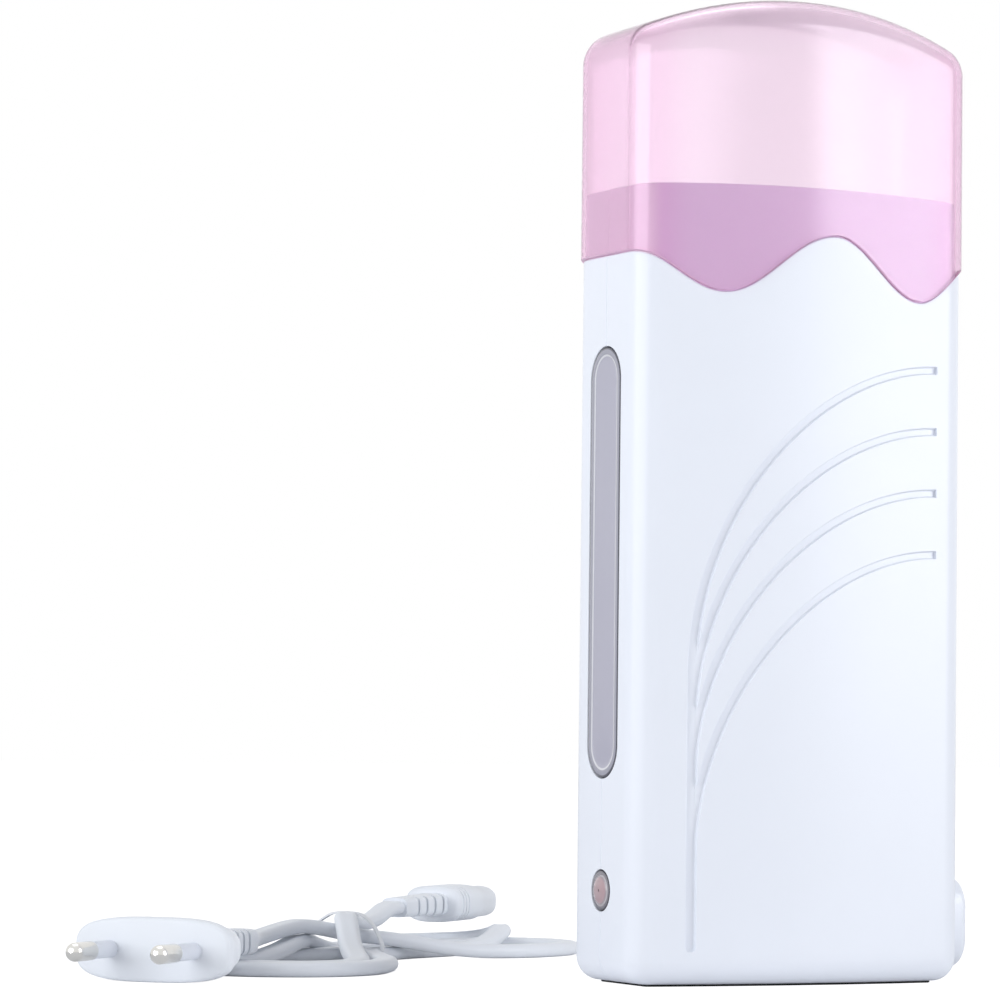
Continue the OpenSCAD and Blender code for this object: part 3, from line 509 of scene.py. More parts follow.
def groove_lines():
    """Middle lines of the grooves as rows of (x, z, half width).

    The first runs up the stem and on into the top arch. The others start inside the stem, a little narrower.
    """
    lines = []
    for k, drop in enumerate(ARCH_DROPS):
        line = []
        for i in range(61):
            a = pi / 2 * i / 60
            c, s = cos(a) ** (2 / ARCH_BEND), sin(a) ** (2 / ARCH_BEND)
            inside = 0.14 * max(0, 1 - i / 16) if k else 0
            x = TIP_X - (TIP_X - STEM_X) * c + inside
            z = TOP_TIP_Z - k * ARCH_PITCH - drop * (1 - s)
            line.append((x, z, (STEM_WIDTH + (TIP_WIDTH - STEM_WIDTH) * i / 60) / 2 - 2 * inside))
        if k == 0:
            rounded = [(0, 0.4), (0.08, 0.66), (0.25, 0.88), (0.5, 1.04), (0.85, 1.13), (1.3, STEM_WIDTH / 2)]
            rounded += [(z - STEM_LOW_Z, STEM_WIDTH / 2) for z in (25, 40, 55)]
            line = [(STEM_X, STEM_LOW_Z + up, half) for up, half in rounded] + line
        lines.append(line)
    return lines


# Section of a groove from its lip to its floor, as (beyond the half width, share of the depth).
GROOVE_SIDE = ((0.16, -1.0), (0.14, 0.0), (0.05, 0.04), (0.0, 0.15), (-0.06, 0.7), (-0.14, 0.9), (-0.3, 1.0))


def groove_tools():
    """Cutters of the grooves: a channel section carried along each middle line."""
    tools = []
    for k, line in enumerate(groove_lines()):
        depth = GROOVE_T - 0.02 * k
        rows = []
        for i, (x, z, half) in enumerate(line):
            ahead = line[min(i + 1, len(line) - 1)]
            behind = line[max(i - 1, 0)]
            way = Vector((ahead[0] - behind[0], ahead[1] - behind[1])).normalized()
            side = Vector((way.y, -way.x))
            row = []
            for sign in (1, -1):
                for wide, deep in GROOVE_SIDE if sign > 0 else reversed(GROOVE_SIDE):
                    reach = half + wide
                    px, pz = x + sign * side.x * reach, z + sign * side.y * reach
                    row.append((px, -bow_at(px, deep * depth), pz))
            rows.append(row)
        bm = bmesh.new()
        first, last = loft(bm, rows)
        bm.faces.new(first)
        bm.faces.new(last)
        bmesh.ops.recalc_face_normals(bm, faces=bm.faces)
        tools.append(bm)
    return tools


def half_shell(back):
    """One half of the housing with its neck, drawn for the front and turned round for the rear."""
    side_y = [0, -0.13, -3.3, -6.5, -corner_y]
    spots = half_plan(side_y)
    seam = {0, len(spots) - 1}

    def row(inset, height):
        points = draw_plan(spots, inset, height)
        for i in seam:
            x, y, z = points[i]
            points[i] = (x - 0.22 * (1 if x > 0 else -1), y, z)
        return points

    rows = []
    for i in range(9):
        a = pi / 2 * i / 8
        rows.append(row(FOOT_R * (1 - sin(a)), lambda x, a=a: FOOT_LINE + FOOT_R * (1 - cos(a))))
    body_low = FOOT_LINE + FOOT_R
    levels = 92
    for k in range(1, levels):
        rows.append(row(0, lambda x, k=k: body_low + (wave_at(x) - 0.3 - body_low) * k / (levels - 1)))
    rows.append(row(0.09, lambda x: wave_at(x) - 0.09))
    rows.append(row(0.3, wave_at))
    rows.append(row(NECK_INSET - 0.15, wave_at))
    rows.append(row(NECK_INSET, lambda x: wave_at(x) + 0.15))
    for k in range(1, 7):
        rows.append(row(NECK_INSET, lambda x, k=k: wave_at(x) + (neck_at(x) - 0.3 - wave_at(x)) * k / 6))
    rows.append(row(NECK_INSET + 0.1, lambda x: neck_at(x) - 0.08))
    rows.append(row(NECK_INSET + 0.3, neck_at))
    rows.append(row(WALL - 0.3, neck_at))
    rows.append(row(WALL - 0.1, lambda x: neck_at(x) - 0.1))
    for z in (165, 120, 60, FLOOR_Z):
        rows.append(row(WALL, lambda x, z=z: z))
    bm = bmesh.new()
    first, last = loft(bm, rows, closed=False)
    bm.faces.new(first)
    bm.faces.new(list(reversed(last)))
    bmesh.ops.holes_fill(bm, edges=bm.edges, sides=0)
    bmesh.ops.triangulate(bm, faces=[f for f in bm.faces if len(f.verts) > 4])
    if back:
        for v in bm.verts:
            v.co.y = -v.co.y
    return bm


INLET_Z = 12.6
SCREWS = ((-24, 30.5), (16, 30.5), (31.4, 62), (31.4, 142))
HEAD_SINK = 9


def side_openings():
    """Openings of both shells: seats of the lenses on the left, the inlet's cut on the right."""
    seat = [(-36.5, 0), (-39.84, 0), (-39.97, 0.05), (-40.04, 0.14), (-42, 0.14)]
    return [
        solid_slot(WINDOW_HALF, WINDOW_LOW_Z, WINDOW_TOP_Z, 27, seat),
        solid_slot(LIGHT_R, LIGHT_Z - LIGHT_R, LIGHT_Z + LIGHT_R, 25, seat),
        solid_slot(5.6, INLET_Z - 9.1, INLET_Z + 9.1, 21, [(36, 0), (42, 0)]),
    ]


front_cover = finish_piece("front_cover", half_shell(back=False), housing_white, ["front_shell"])
carve(front_cover, side_openings() + groove_tools())
rear_cover = finish_piece("rear_cover", half_shell(back=True), housing_white, ["rear_shell"])
posts = [solid_bar(3.7, (x, 8, z), (x, bow_at(x, 1.2), z)) for x, z in SCREWS]
recesses = [solid_bar(3.0, (x, bow_at(x) - HEAD_SINK, z), (x, 22, z)) for x, z in SCREWS]
carve(rear_cover, posts, "UNION")
carve(rear_cover, recesses + side_openings())
# Faces above the wavy joint line take the neck finish, whose lilac is painted shade.
for cover in (front_cover, rear_cover):
    cover.data.materials.append(neck_white.material)
    for face in cover.data.polygons:
        x, _, z = face.center
        if z / MM > wave_at(x / MM) + 0.01:
            face.material_index = 1
    cover.data.shade_smooth()
    cover.data.set_sharp_from_angle(angle=radians(13))




def foot_plate():
    """The black foot pad, a little narrower than the flat underside, with a rounded lower edge."""
    ring = half_plan([-corner_y], corner_steps=10, bow_steps=24)
    ring += [((x, -y), (nx, -ny), r) for (x, y), (nx, ny), r in reversed(ring)]
    bm = bmesh.new()
    rows = [draw_plan(ring, inset, lambda x, z=z: z) for inset, z in ((5.4, FOOT_LINE), (5.35, 0.2), (5.45, 0.06), (5.6, 0))]
    first, last = loft(bm, rows)
    bm.faces.new(first)
    bm.faces.new(last)
    return bm


finish_piece("foot_plate", foot_plate(), pad_black, ["foot_pad"])

# Clear cap ----------------------------------------------------------------------

OVERALL_H = 210.5
CAP_PROUD = 0.6
CAP_R = CORNER_R + CAP_PROUD
CAP_WALL = 1.3
CROWN_R = 97
EDGE_GAP = 0.3


def crown_at(x):
    return sqrt((CROWN_R - CAP_R) ** 2 - x * x) + OVERALL_H - CROWN_R


def cap_skin(inset):
    """One skin of the cap: upright walls from the wavy edge, a rounded rim and an arched crown."""
    r = CAP_R - inset
    front = half_plan([-corner_y], corner_steps=14, bow_steps=64)
    ring = front + [((x, -y), (nx, -ny), q) for (x, y), (nx, ny), q in reversed(front)]
    anchors = []
    for (cx, cy), (nx, ny), q in ring:
        if q == BOW_R:
            ax, ay = cx + (BOW_R - CORNER_R) * nx, cy + (BOW_R - CORNER_R) * ny
        else:
            ax, ay = cx, cy
        lean = asin(ax / (CROWN_R - CAP_R))
        anchors.append((Vector((ax, ay, crown_at(ax))), Vector((nx, ny, 0)), Vector((sin(lean), 0, cos(lean)))))
    rows = []
    wall_steps = 14
    for k in range(wall_steps + 1):
        points = []
        for centre, out, up in anchors:
            x, y = centre.x + r * out.x, centre.y + r * out.y
            low = wave_at(x) + EDGE_GAP
            points.append((x, y, low + (centre.z - low) * k / wall_steps))
        rows.append(points)
    for k in range(1, 13):
        t = k / 12
        points = []
        for centre, out, up in anchors:
            angle = out.angle(up)
            way = out * (sin((1 - t) * angle) / sin(angle)) + up * (sin(t * angle) / sin(angle))
            points.append(tuple(centre + r * way))
        rows.append(points)
    return rows


def clear_cap():
    bm = bmesh.new()
    lows = []
    for inset in (0, CAP_WALL):
        first, last = loft(bm, cap_skin(inset))
        lows.append(first)
        half = len(last) // 2
        for i in range(half - 1):
            a, b = last[i], last[i + 1]
            c, d = last[-2 - i], last[-1 - i]
            if (a.co - b.co).length > 1e-6:
                bm.faces.new((a, b, c, d))
    outer, inner = lows
    n = len(outer)
    for i in range(n):
        j = (i + 1) % n
        bm.faces.new((outer[i], outer[j], inner[j], inner[i]))
    return bm


cap_cover = finish_piece("clear_cap", clear_cap(), cap_pink, ["cap"], body="cap", sharp=50)
cap_cover.data.materials.append(cap_rim.material)
for face in cap_cover.data.polygons:
    corners = [cap_cover.data.vertices[i].co / MM for i in face.vertices]
    if all(c.z < wave_at(c.x) + EDGE_GAP + 0.02 for c in corners):
        face.material_index = 1


# Window, light and inlet ---------------------------------------------------------


def window_plate():
    """The window's lens: a flat border round a sunk, slightly cushioned field."""
    rows = []
    for inset, x in (
        (0.02, -37.7), (0.02, -39.2), (0.28, -39.25), (0.3, -39.75), (0.38, -39.9), (0.55, -39.97),
        (1.6, -39.97), (1.8, -39.93), (2.05, -39.86), (2.3, -39.8), (2.6, -39.78), (3.2, -39.79),
    ):
        rows.append(slot_points(WINDOW_HALF - inset, WINDOW_LOW_Z + inset, WINDOW_TOP_Z - inset, x, 28))
    bm = bmesh.new()
    first, last = loft(bm, rows)
    bm.faces.new(first)
    bm.faces.new(last)
    return bm


finish_piece("window_plate", window_plate(), window_lilac, ["window_lens"])


def turned(profile, centre, steps=48):
    """Spins a profile of (radius, x) round an axis along X."""
    bm = bmesh.new()
    verts = [bm.verts.new((x, r, 0)) for r, x in profile]
    edges = [bm.edges.new(pair) for pair in zip(verts, verts[1:])]
    bmesh.ops.spin(
        bm, geom=verts + edges, cent=(0, 0, 0), axis=(1, 0, 0), angle=2 * pi, steps=steps, use_merge=True
    )
    bmesh.ops.translate(bm, vec=centre, verts=bm.verts)
    return bm


light_profile = [
    (0, -37.0), (4.42, -37.0), (4.42, -39.3), (4.2, -39.35), (4.18, -39.8), (4.1, -39.95), (3.95, -40.0),
    (3.35, -40.0), (3.25, -39.9), (3.2, -39.82), (3.05, -40.1), (2.7, -40.28), (2.0, -40.42), (1.0, -40.49),
    (0.3, -40.5), (0.22, -40.4), (0, -40.38),
]
finish_piece("light_cap", turned(light_profile, (0, 0, LIGHT_Z)), light_rose, ["indicator_lens"])

INLET_OUT = 6.5
CAVITY_X = 33.5


def figure_eight(r, spread, x, steps=18):
    """The inlet's cavity outline: two round lobes one above the other with a slight waist."""
    points = []
    low = asin(spread / r)
    for sign in (1, -1):
        for i in range(steps):
            a = -low + (pi + 2 * low) * i / steps
            y, z = r * cos(a), r * sin(a)
            points.append((x, sign * y, INLET_Z + sign * (spread + z)))
    return points


def inlet_collar():
    """The inlet's collar with its rounded mouth; its cavity is carved afterwards."""
    half = 6.5
    low, high = INLET_Z - 10, INLET_Z + 10
    rows = [slot_points(half - i, low + i, high - i, x, 24) for i, x in (
        (1.1, 30.0), (1.1, 38.6), (0.0, 38.9), (0.0, 44.6), (0.12, 45.3), (0.5, 45.95), (1.1, 46.38), (1.7, 46.5),
    )]
    bm = bmesh.new()
    first, last = loft(bm, rows)
    bm.faces.new(first)
    bm.faces.new(last)
    return bm


collar = finish_piece("inlet_collar", inlet_collar(), housing_white, ["inlet_socket"])
cavity = bmesh.new()
cavity_first, cavity_last = loft(cavity, [figure_eight(4.65, 3.35, x) for x in (CAVITY_X, 46.0)] + [figure_eight(4.95, 3.35, 46.6)])
cavity.faces.new(cavity_first)
cavity.faces.new(cavity_last)
bmesh.ops.recalc_face_normals(cavity, faces=cavity.faces)
holes = [solid_bar(1.28, (30, 0, INLET_Z + s * 4.3), (34, 0, INLET_Z + s * 4.3), 24) for s in (-1, 1)]
carve(collar, [cavity])
collar.data.shade_smooth()
collar.data.set_sharp_from_angle(angle=radians(40))


# Mains lead ---------------------------------------------------------------------

LEAD_X, LEAD_Y, LEAD_TURN = -144, 14, radians(45)
CORD_W = 5.4
CORD_T = 3.2


def laid(s, t, z):
    """A point of the lead in the part's frame: s along it from the pins' tips, t across it."""
    c, d = cos(LEAD_TURN), sin(LEAD_TURN)
    return (LEAD_X + s * c - t * d, LEAD_Y + s * d + t * c, z)


def lay_down(bm):
    """Takes a mesh drawn along X to where the lead lies."""
    for v in bm.verts:
        v.co = laid(*v.co)
    return bm


# Route of the cord from the plug to the connector as (s, t, z).
ROUTE = [
    (66, 0, 6.8), (68, 0, 6.8), (70, 0.1, 6.8), (73.81, 1.33, 6.8), (79.23, 3.91, 6.3), (84.93, 5.79, 6.13),
    (90.87, 6.61, 6.46), (104.62, 4.12, 8.34), (108.39, 2.77, 8.45), (113.86, 0.3, 7.74), (122.61, -4.58, 6),
    (129.17, -9.17, 5.18), (135.48, -14.1, 4.01), (141.74, -19.11, 2.71), (148.05, -24.04, 1.96),
    (161.47, -32.76, 1.61), (176.92, -36.48, 1.6), (184.59, -34.44, 1.6), (190.12, -28.78, 1.6),
    (191.99, -21.08, 1.6), (189.69, -13.49, 1.6), (183.84, -8.17, 1.6), (176.03, -6.5, 1.6),
    (160.13, -4.52, 1.6), (140.43, -0.92, 1.6), (122.52, 1.09, 1.6), (101.67, 8.13, 1.6), (85.13, 15.27, 1.6),
    (73.36, 17.5, 1.6), (65.52, 16.07, 1.6), (57.23, 10.61, 1.6), (52.94, 3.89, 1.6), (51.01, -5.86, 1.6),
    (52.48, -13.7, 1.6), (57.73, -22.14, 1.6), (64.35, -26.59, 1.6), (72.08, -28.47, 1.6),
    (87.76, -25.58, 1.6), (105.46, -16.26, 1.6), (121.73, -8.66, 1.6), (139.64, -9.44, 1.6),
    (158.95, -14.7, 1.66), (166.82, -16.21, 1.9), (174.78, -17.03, 2.57), (186.72, -16.04, 4.55),
    (190.57, -14.93, 4.87), (194.18, -13.21, 4.49), (199.72, -7.52, 3.08), (201.51, 0.19, 2.14),
    (199.16, 7.76, 1.74), (193.15, 12.92, 1.62), (185.41, 14.77, 1.6), (165.49, 13.07, 1.6),
    (143.92, 8.59, 1.72), (133.96, 7.6, 2.23), (121.99, 6.6, 3.95), (114.11, 5.16, 5.02), (104.22, 3.61, 4.75),
    (96.22, 3.8, 3.4), (86.25, 4.78, 2.15), (72.31, 6.12, 1.64), (64.64, 4.09, 1.6), (60.29, 0, 1.6),
    (57.64, -7.47, 1.6), (60.38, -16.92, 1.6), (64.82, -20.9, 1.6), (72.47, -22.89, 1.61),
    (87.91, -18.83, 1.82), (96.9, -14.44, 2.71), (100.39, -12.48, 3.46), (105.7, -9.65, 5.16),
    (112.85, -6.05, 8.46), (116.46, -4.31, 9.83), (122.07, -2.18, 9.83), (127.99, -1.15, 8.75),
    (133.98, -0.74, 8.22), (141.99, -0.6, 8.81), (150, -0.24, 10.58), (153.99, -0, 11.1), (158, 0, 11.1),
]


def smooth_route(points, step=2.0):
    """A smooth curve through the points, as evenly spaced places."""
    p = np.array(points, float)
    p = np.vstack([2 * p[0] - p[1], p, 2 * p[-1] - p[-2]])
    fine = []
    for a, b, c, d in zip(p[:-3], p[1:-2], p[2:-1], p[3:]):
        ta = 0.0
        tb = ta + max(np.linalg.norm(b - a), 1e-6) ** 0.5
        tc = tb + max(np.linalg.norm(c - b), 1e-6) ** 0.5
        td = tc + max(np.linalg.norm(d - c), 1e-6) ** 0.5
        for t in np.linspace(tb, tc, 14, endpoint=False):
            ab = (tb - t) / (tb - ta) * a + (t - ta) / (tb - ta) * b
            bc = (tc - t) / (tc - tb) * b + (t - tb) / (tc - tb) * c
            cd = (td - t) / (td - tc) * c + (t - tc) / (td - tc) * d
            abc = (tc - t) / (tc - ta) * ab + (t - ta) / (tc - ta) * bc
            bcd = (td - t) / (td - tb) * bc + (t - tb) / (td - tb) * cd
            fine.append((tc - t) / (tc - tb) * abc + (t - tb) / (tc - tb) * bcd)
    fine.append(p[-2])
    fine = np.array(fine)
    along = np.concatenate([[0], np.cumsum(np.linalg.norm(np.diff(fine, axis=0), axis=1))])
    count = int(along[-1] / step) + 1
    even = np.linspace(0, along[-1], count)
    path = np.stack([np.interp(even, along, fine[:, i]) for i in range(3)], 1)
    path[:, 2] = np.maximum(path[:, 2], CORD_T / 2)
    return path, along[-1]


def twin_section(steps=8):
    """Outline of the flat twin cord: two round cores side by side with a web between."""
    r = CORD_T / 2
    off = CORD_W / 2 - r
    points = []
    for sign in (1, -1):
        for i in range(steps + 1):
            a = -pi * 0.62 + 2 * pi * 0.62 * i / steps
            points.append((sign * (off + r * cos(a)), sign * r * sin(a)))
    return points


def cord_tube(path):
    """The cord's tube: its section carried along the path with its flat side level."""
    section = twin_section()
    rows = []
    for i, spot in enumerate(path):
        ahead = Vector(path[min(i + 1, len(path) - 1)] - path[max(i - 1, 0)]).normalized()
        across = Vector((0, 0, 1)).cross(ahead).normalized()
        up = ahead.cross(across)
        centre = Vector(spot)
        rows.append([tuple(centre + across * u + up * v) for u, v in section])
    bm = bmesh.new()
    first, last = loft(bm, rows)
    bm.faces.new(first)
    bm.faces.new(last)
    return lay_down(bm)


cord_path, cord_length = smooth_route(ROUTE)
cord = finish_piece(
    "flat_cord", cord_tube(cord_path), vinyl_white, ["plug_lead", "cord_hank", "connector_lead"], sharp=60
)

PLUG_Z = 6.8
PLUG_W, PLUG_T, PLUG_L = 35.4, 13.6, 29
PLUG_S = 19
RELIEF_S = PLUG_S + PLUG_L


def oval_points(s, half_w, half_t, z, square=2.6, steps=40, shift=0.0):
    """A lying oval between an ellipse and a box, across the lead at s."""
    points = []
    for i in range(steps):
        a = 2 * pi * (i + 0.5) / steps
        c, d = cos(a), sin(a)
        u = abs(c) ** (2 / square) * (1 if c > 0 else -1)
        v = abs(d) ** (2 / square) * (1 if d > 0 else -1)
        points.append((s, shift + half_w * u, z + half_t * v))
    return points


def plug_half(u):
    """Half width of the plug's body at a share u of its length behind the rim."""
    return 5.5 + (PLUG_W / 2 - 0.8 - 5.5) * (1 + cos(pi * u**1.5)) / 2


def plug_shell():
    """The plug's body: a rimmed face, shoulders that draw in to the cord, and a ribbed patch on each flat."""
    rows = []
    w, t = PLUG_W / 2, PLUG_T / 2
    for s, dw in ((19.0, 0.9), (19.15, 0.35), (19.5, 0.05), (22.4, 0.0), (22.85, 0.3), (23.0, 0.85)):
        rows.append(oval_points(s, w - dw, t - dw, PLUG_Z, 3.2, 64))
    steps = 84
    for i in range(1, steps + 1):
        u = i / steps
        s = 23.0 + (RELIEF_S - 23.0) * u
        rib = 0.5 - 0.5 * cos(2 * pi * (s - 30.2) / 1.7) if 30.2 < s < 38.7 else 0
        half_w = plug_half((s - PLUG_S) / PLUG_L)
        points = []
        for along, across, z in oval_points(s, half_w, 5.95 - 2.2 * u**2.2, PLUG_Z, 3.0 - 0.6 * u, 64):
            middle = max(0, min(1, (5.4 - abs(across)) / 0.8))
            points.append((along, across, z - (0.3 if z > PLUG_Z else -0.3) * rib * middle))
        rows.append(points)
    bm = bmesh.new()
    first, last = loft(bm, rows)
    bm.faces.new(first)
    bm.faces.new(last)
    return lay_down(bm)


plug_piece = finish_piece("plug_shell", plug_shell(), vinyl_white, ["plug_body"], sharp=50)


def relief_sleeve(s0, s1, w0, w1, t0, t1, z, notches, first_notch):
    """A strain relief: a tapered bar. Its open slots, from either side in turn, are cut afterwards with
    relief_tools.
    """
    rows = []
    steps = 26
    for i in range(steps + 1):
        u = i / steps
        rows.append(oval_points(s0 + (s1 - s0) * u, (w0 + (w1 - w0) * u) / 2, (t0 + (t1 - t0) * u) / 2, z, 4.0, 32))
    bm = bmesh.new()
    first, last = loft(bm, rows)
    bm.faces.new(first)
    bm.faces.new(last)
    return bm


def relief_tools(s0, s1, w0, t, z, count):
    """Slot cutters of a strain relief."""
    tools = []
    pitch = (s1 - s0) / (count + 1)
    for i in range(1, count + 1):
        for sign in (-1, 1):
            bm = bmesh.new()
            bmesh.ops.create_cube(bm, size=1)
            bmesh.ops.scale(bm, vec=(1.2, 0.6 * w0, 2 * t), verts=bm.verts)
            bmesh.ops.translate(bm, vec=(s0 + pitch * (i - (1 - sign) / 4), sign * w0 / 2, z), verts=bm.verts)
            tools.append(lay_down(bm))
    return tools


plug_tail = finish_piece(
    "plug_tail", lay_down(relief_sleeve(47.4, 66, 10.4, 8.2, 6.8, 5.6, PLUG_Z, 4, 0)), vinyl_white,
    ["plug_relief"], sharp=40,
)
carve(plug_tail, relief_tools(48, 66, 10.6, 7, PLUG_Z, 4))

CONNECTOR_Z = 11.1
CONNECTOR_S0, CONNECTOR_S1 = 183, 211


def connector_shell():
    """The connector: a grip with three fine grooves and a nose with a waist between its two barrels."""
    profile = [(183.0, -1.2), (183.3, -0.5), (183.9, -0.1), (184.6, 0.0)]
    for groove in (186.0, 187.9, 189.8):
        profile += [(groove - 0.32, 0.0), (groove - 0.2, -0.3), (groove + 0.2, -0.3), (groove + 0.32, 0.0)]
    profile += [(192.0, 0.0), (199.6, 0.0), (200.1, -0.15), (200.6, -0.45), (209.8, -0.5), (210.5, -0.65)]
    profile += [(210.9, -1.0), (211.0, -1.5)]
    rows = []
    for s, d in profile:
        waist = 0.3 * max(0, min(1, (s - 200.1) / 0.5))
        points = []
        for along, across, z in oval_points(s, 7.2 + d, 4.4 + d, CONNECTOR_Z, 3.0, 72):
            pinch = 1 - waist * max(0, 1 - (across / 2.1) ** 2) ** 1.5
            points.append((along, across, CONNECTOR_Z + (z - CONNECTOR_Z) * pinch))
        rows.append(points)
    bm = bmesh.new()
    first, last = loft(bm, rows)
    bm.faces.new(first)
    bm.faces.new(last)
    return lay_down(bm)


connector_piece = finish_piece("connector_shell", connector_shell(), vinyl_white, ["connector_body"], sharp=50)
socket_tools = [
    solid_bar(1.25, laid(193, t, CONNECTOR_Z), laid(212, t, CONNECTOR_Z), 24) for t in (-4.3, 4.3)
]
carve(connector_piece, socket_tools)

connector_tail = finish_piece(
    "connector_tail", lay_down(relief_sleeve(183.6, 158, 8.2, 6.4, 5.4, 4.6, CONNECTOR_Z, 4, 0)), vinyl_white,
    ["connector_relief"], sharp=40,
)
carve(connector_tail, relief_tools(183, 158, 8.2, 5.4, CONNECTOR_Z, 4))


def tie_band():
    """The tie: a soft flat band pulled tight round the runs, its head on one side and its short knobbed tail."""
    bm = bmesh.new()
    band = []
    steps = 60
    for i in range(steps):
        a = 2 * pi * i / steps
        c, d = cos(a), sin(a)
        u = abs(c) ** (2 / 3.0) * (1 if c > 0 else -1)
        v = abs(d) ** (2 / 3.0) * (1 if d > 0 else -1)
        z = 5.6 + 5.4 * v
        rise = max(0, min(1, (z - 3.2) / 6.8))
        band.append((-0.9 + 10.5 * u * (1 - 0.42 * rise) - 1.2 * rise, z, c, d))
    rows = []
    for ds, lift in ((-1.0, 0.0), (-0.95, 0.3), (-0.6, 0.5), (0.6, 0.5), (0.95, 0.3), (1.0, 0.0)):
        rows.append([(122 + ds, y + lift * c, max(z + lift * d, 0.05)) for y, z, c, d in band])
    first, last = loft(bm, rows)
    for i in range(len(first)):
        j = (i + 1) % len(first)
        bm.faces.new((first[i], first[j], last[j], last[i]))
    head = bmesh.ops.create_cube(bm, size=1)["verts"]
    bmesh.ops.scale(bm, vec=(3.0, 1.9, 3.0), verts=head)
    bmesh.ops.translate(bm, vec=(122, 7.6, 6.4), verts=head)
    edges = list({e for v in head for e in v.link_edges})
    bmesh.ops.bevel(bm, geom=edges, offset=0.45, segments=3, profile=0.5, affect="EDGES", material=-1)
    rows = []
    for y, z, wide, thick in (
        (10.4, 6.2, 0.7, 0.3), (11.6, 6.3, 0.7, 0.3), (13.0, 6.6, 0.65, 0.3), (14.2, 7.1, 0.6, 0.3), (14.8, 7.4, 0.6, 0.32),
        (15.0, 7.5, 0.9, 0.7), (15.4, 7.7, 1.1, 0.95), (15.9, 7.95, 1.1, 0.95), (16.3, 8.15, 0.85, 0.7), (16.45, 8.2, 0.4, 0.3),
    ):
        rows.append([
            (122 + wide * cos(q), y - 3 - 0.45 * thick * sin(q), z + 0.9 * thick * sin(q)) for q in np.linspace(0, 2 * pi, 17)[:-1]
        ])
    first, last = loft(bm, rows)
    bm.faces.new(first)
    bm.faces.new(last)
    return lay_down(bm)


tie_piece = finish_piece("twist_tie", tie_band(), tie_white, ["cord_tie"], sharp=50)

[c * MM for c in laid(158, 0, 11.1)]
[[c * MM for c in laid(*p)] for p in cord_path[::-1]]

# Finishes of the pieces that keep their solids' shapes ---------------------------

KEPT = {
    "top_frame": housing_white,
    "wax_sleeve": sleeve_metal,
    "indicator_lamp": lamp_glow,
    "lamp_resistor": resistor_tan,
    "heating_plate": heater_metal,
    "heater_clip": spring_metal,
    "insulating_sheet": sheet_cloth,
    "thermostat": phenolic_black,
    "thermostat_bracket": spring_metal,
    "thermal_fuse": fuse_metal,
    "inlet_contacts": contact_metal,
    "live_wire": live_red,
    "neutral_wire": neutral_blue,
    "switched_wire": live_red,
    "lamp_wires": lead_white,
    "housing_screws": screw_metal,
    "plug_pins": contact_metal,
    "pin_sleeves": sleeve_grey,
    "connector_contacts": brass_metal,
}
for node, finish in KEPT.items():
    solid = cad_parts[node]
    for slot in solid.material_slots:
        slot.material = finish.material

# Floor and light ----------------------------------------------------------------

floor_mesh = bpy.data.meshes.new("floor")
floor_bm = bmesh.new()
bmesh.ops.create_grid(floor_bm, x_segments=1, y_segments=1, size=6)
floor_bm.to_mesh(floor_mesh)
floor_bm.free()
floor = bpy.data.objects.new("floor", floor_mesh)
bpy.context.collection.objects.link(floor)
floor_finish = bpy.data.materials.new("floor_white")
floor_finish.use_nodes = True
nodes, links = floor_finish.node_tree.nodes, floor_finish.node_tree.links
nodes.remove(nodes["Principled BSDF"])
matt = nodes.new("ShaderNodeBsdfDiffuse")
matt.inputs["Color"].default_value = (0.93, 0.93, 0.94, 1)
glow = nodes.new("ShaderNodeEmission")
glow.inputs["Strength"].default_value = 1.62
seen = nodes.new("ShaderNodeLightPath")
share = nodes.new("ShaderNodeMath")
share.operation = "MULTIPLY"
share.inputs[1].default_value = 0.55
blend = nodes.new("ShaderNodeMixShader")
links.new(seen.outputs["Is Camera Ray"], share.inputs[0])
links.new(share.outputs[0], blend.inputs[0])
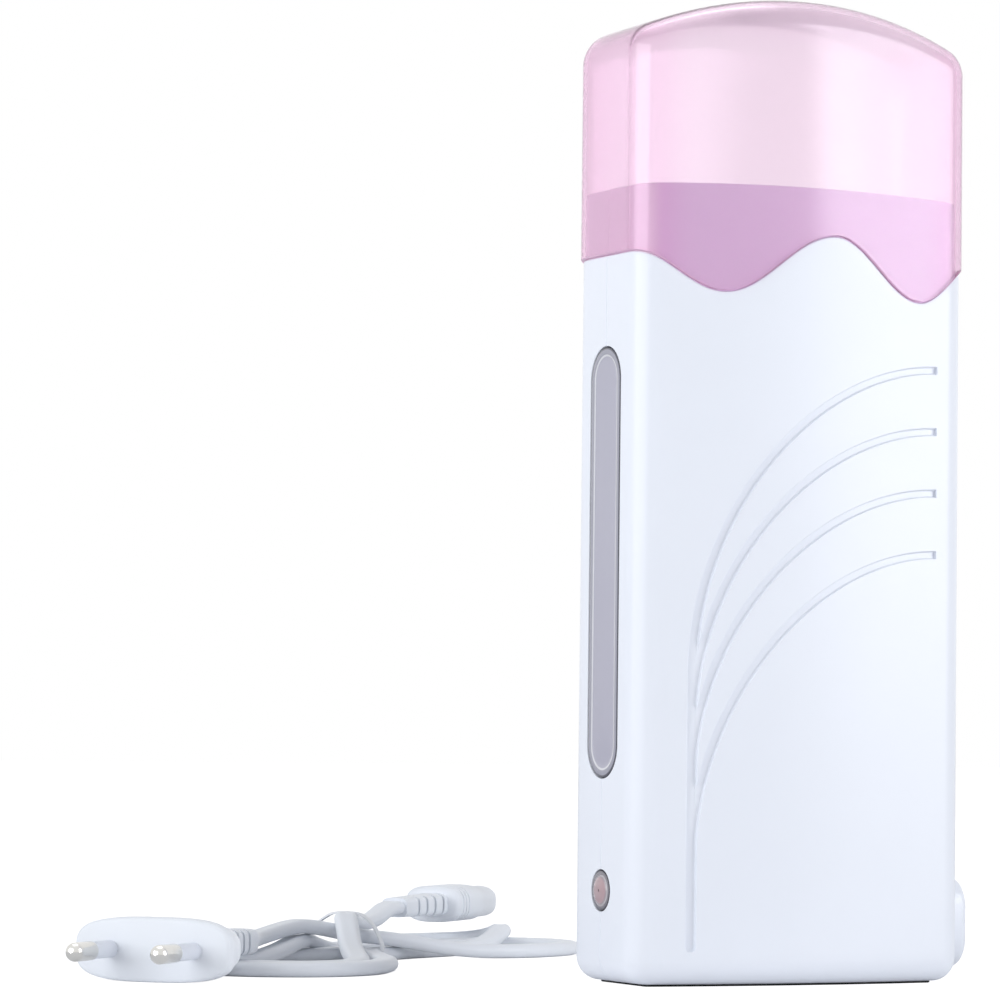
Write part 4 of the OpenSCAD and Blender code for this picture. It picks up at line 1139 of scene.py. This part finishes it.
links.new(matt.outputs[0], blend.inputs[1])
links.new(glow.outputs[0], blend.inputs[2])
links.new(blend.outputs[0], nodes["Material Output"].inputs["Surface"])
floor_mesh.materials.append(floor_finish)

world = bpy.data.worlds.new("studio")
bpy.context.scene.world = world
world.use_nodes = True
nodes, links = world.node_tree.nodes, world.node_tree.links
light = nodes["Background"]
light.inputs["Color"].default_value = (0.93, 0.95, 1.0, 1)
light.inputs["Strength"].default_value = 0.36
white = nodes.new("ShaderNodeBackground")
white.inputs["Color"].default_value = (1, 1, 1, 1)
seen = nodes.new("ShaderNodeLightPath")
either = nodes.new("ShaderNodeMath")
either.operation = "MAXIMUM"
either_more = nodes.new("ShaderNodeMath")
either_more.operation = "MAXIMUM"
blend = nodes.new("ShaderNodeMixShader")
links.new(seen.outputs["Is Camera Ray"], either.inputs[0])
links.new(seen.outputs["Is Glossy Ray"], either.inputs[1])
links.new(either.outputs[0], either_more.inputs[0])
links.new(seen.outputs["Is Transmission Ray"], either_more.inputs[1])
links.new(either_more.outputs[0], blend.inputs[0])
links.new(light.outputs[0], blend.inputs[1])
links.new(white.outputs[0], blend.inputs[2])
links.new(blend.outputs[0], nodes["World Output"].inputs["Surface"])


def soft_box(name, place, aim, width, height, power, color=(1, 1, 1)):
    data = bpy.data.lights.new(name, "AREA")
    data.shape, data.size, data.size_y = "RECTANGLE", width, height
    data.energy, data.color = power, color
    lamp = bpy.data.objects.new(name, data)
    lamp.location = place
    lamp.rotation_euler = (Vector(aim) - Vector(place)).to_track_quat("-Z", "Y").to_euler()
    bpy.context.collection.objects.link(lamp)
    return lamp


soft_box("right_panel", (0.903, -0.935, 0.44), (0, 0, 0.1), 0.7, 0.82, 8.3, (0.97, 0.985, 1.0))
soft_box("left_panel", (-1.37, -0.29, 0.5), (0, 0, 0.1), 1.4, 0.9, 12.2, (0.96, 0.98, 1.0))
soft_box("top_panel", (0, 0.3, 1.6), (0, 0, 0.1), 1.2, 1.2, 4)

bpy.context.scene.view_settings.view_transform = "Standard"
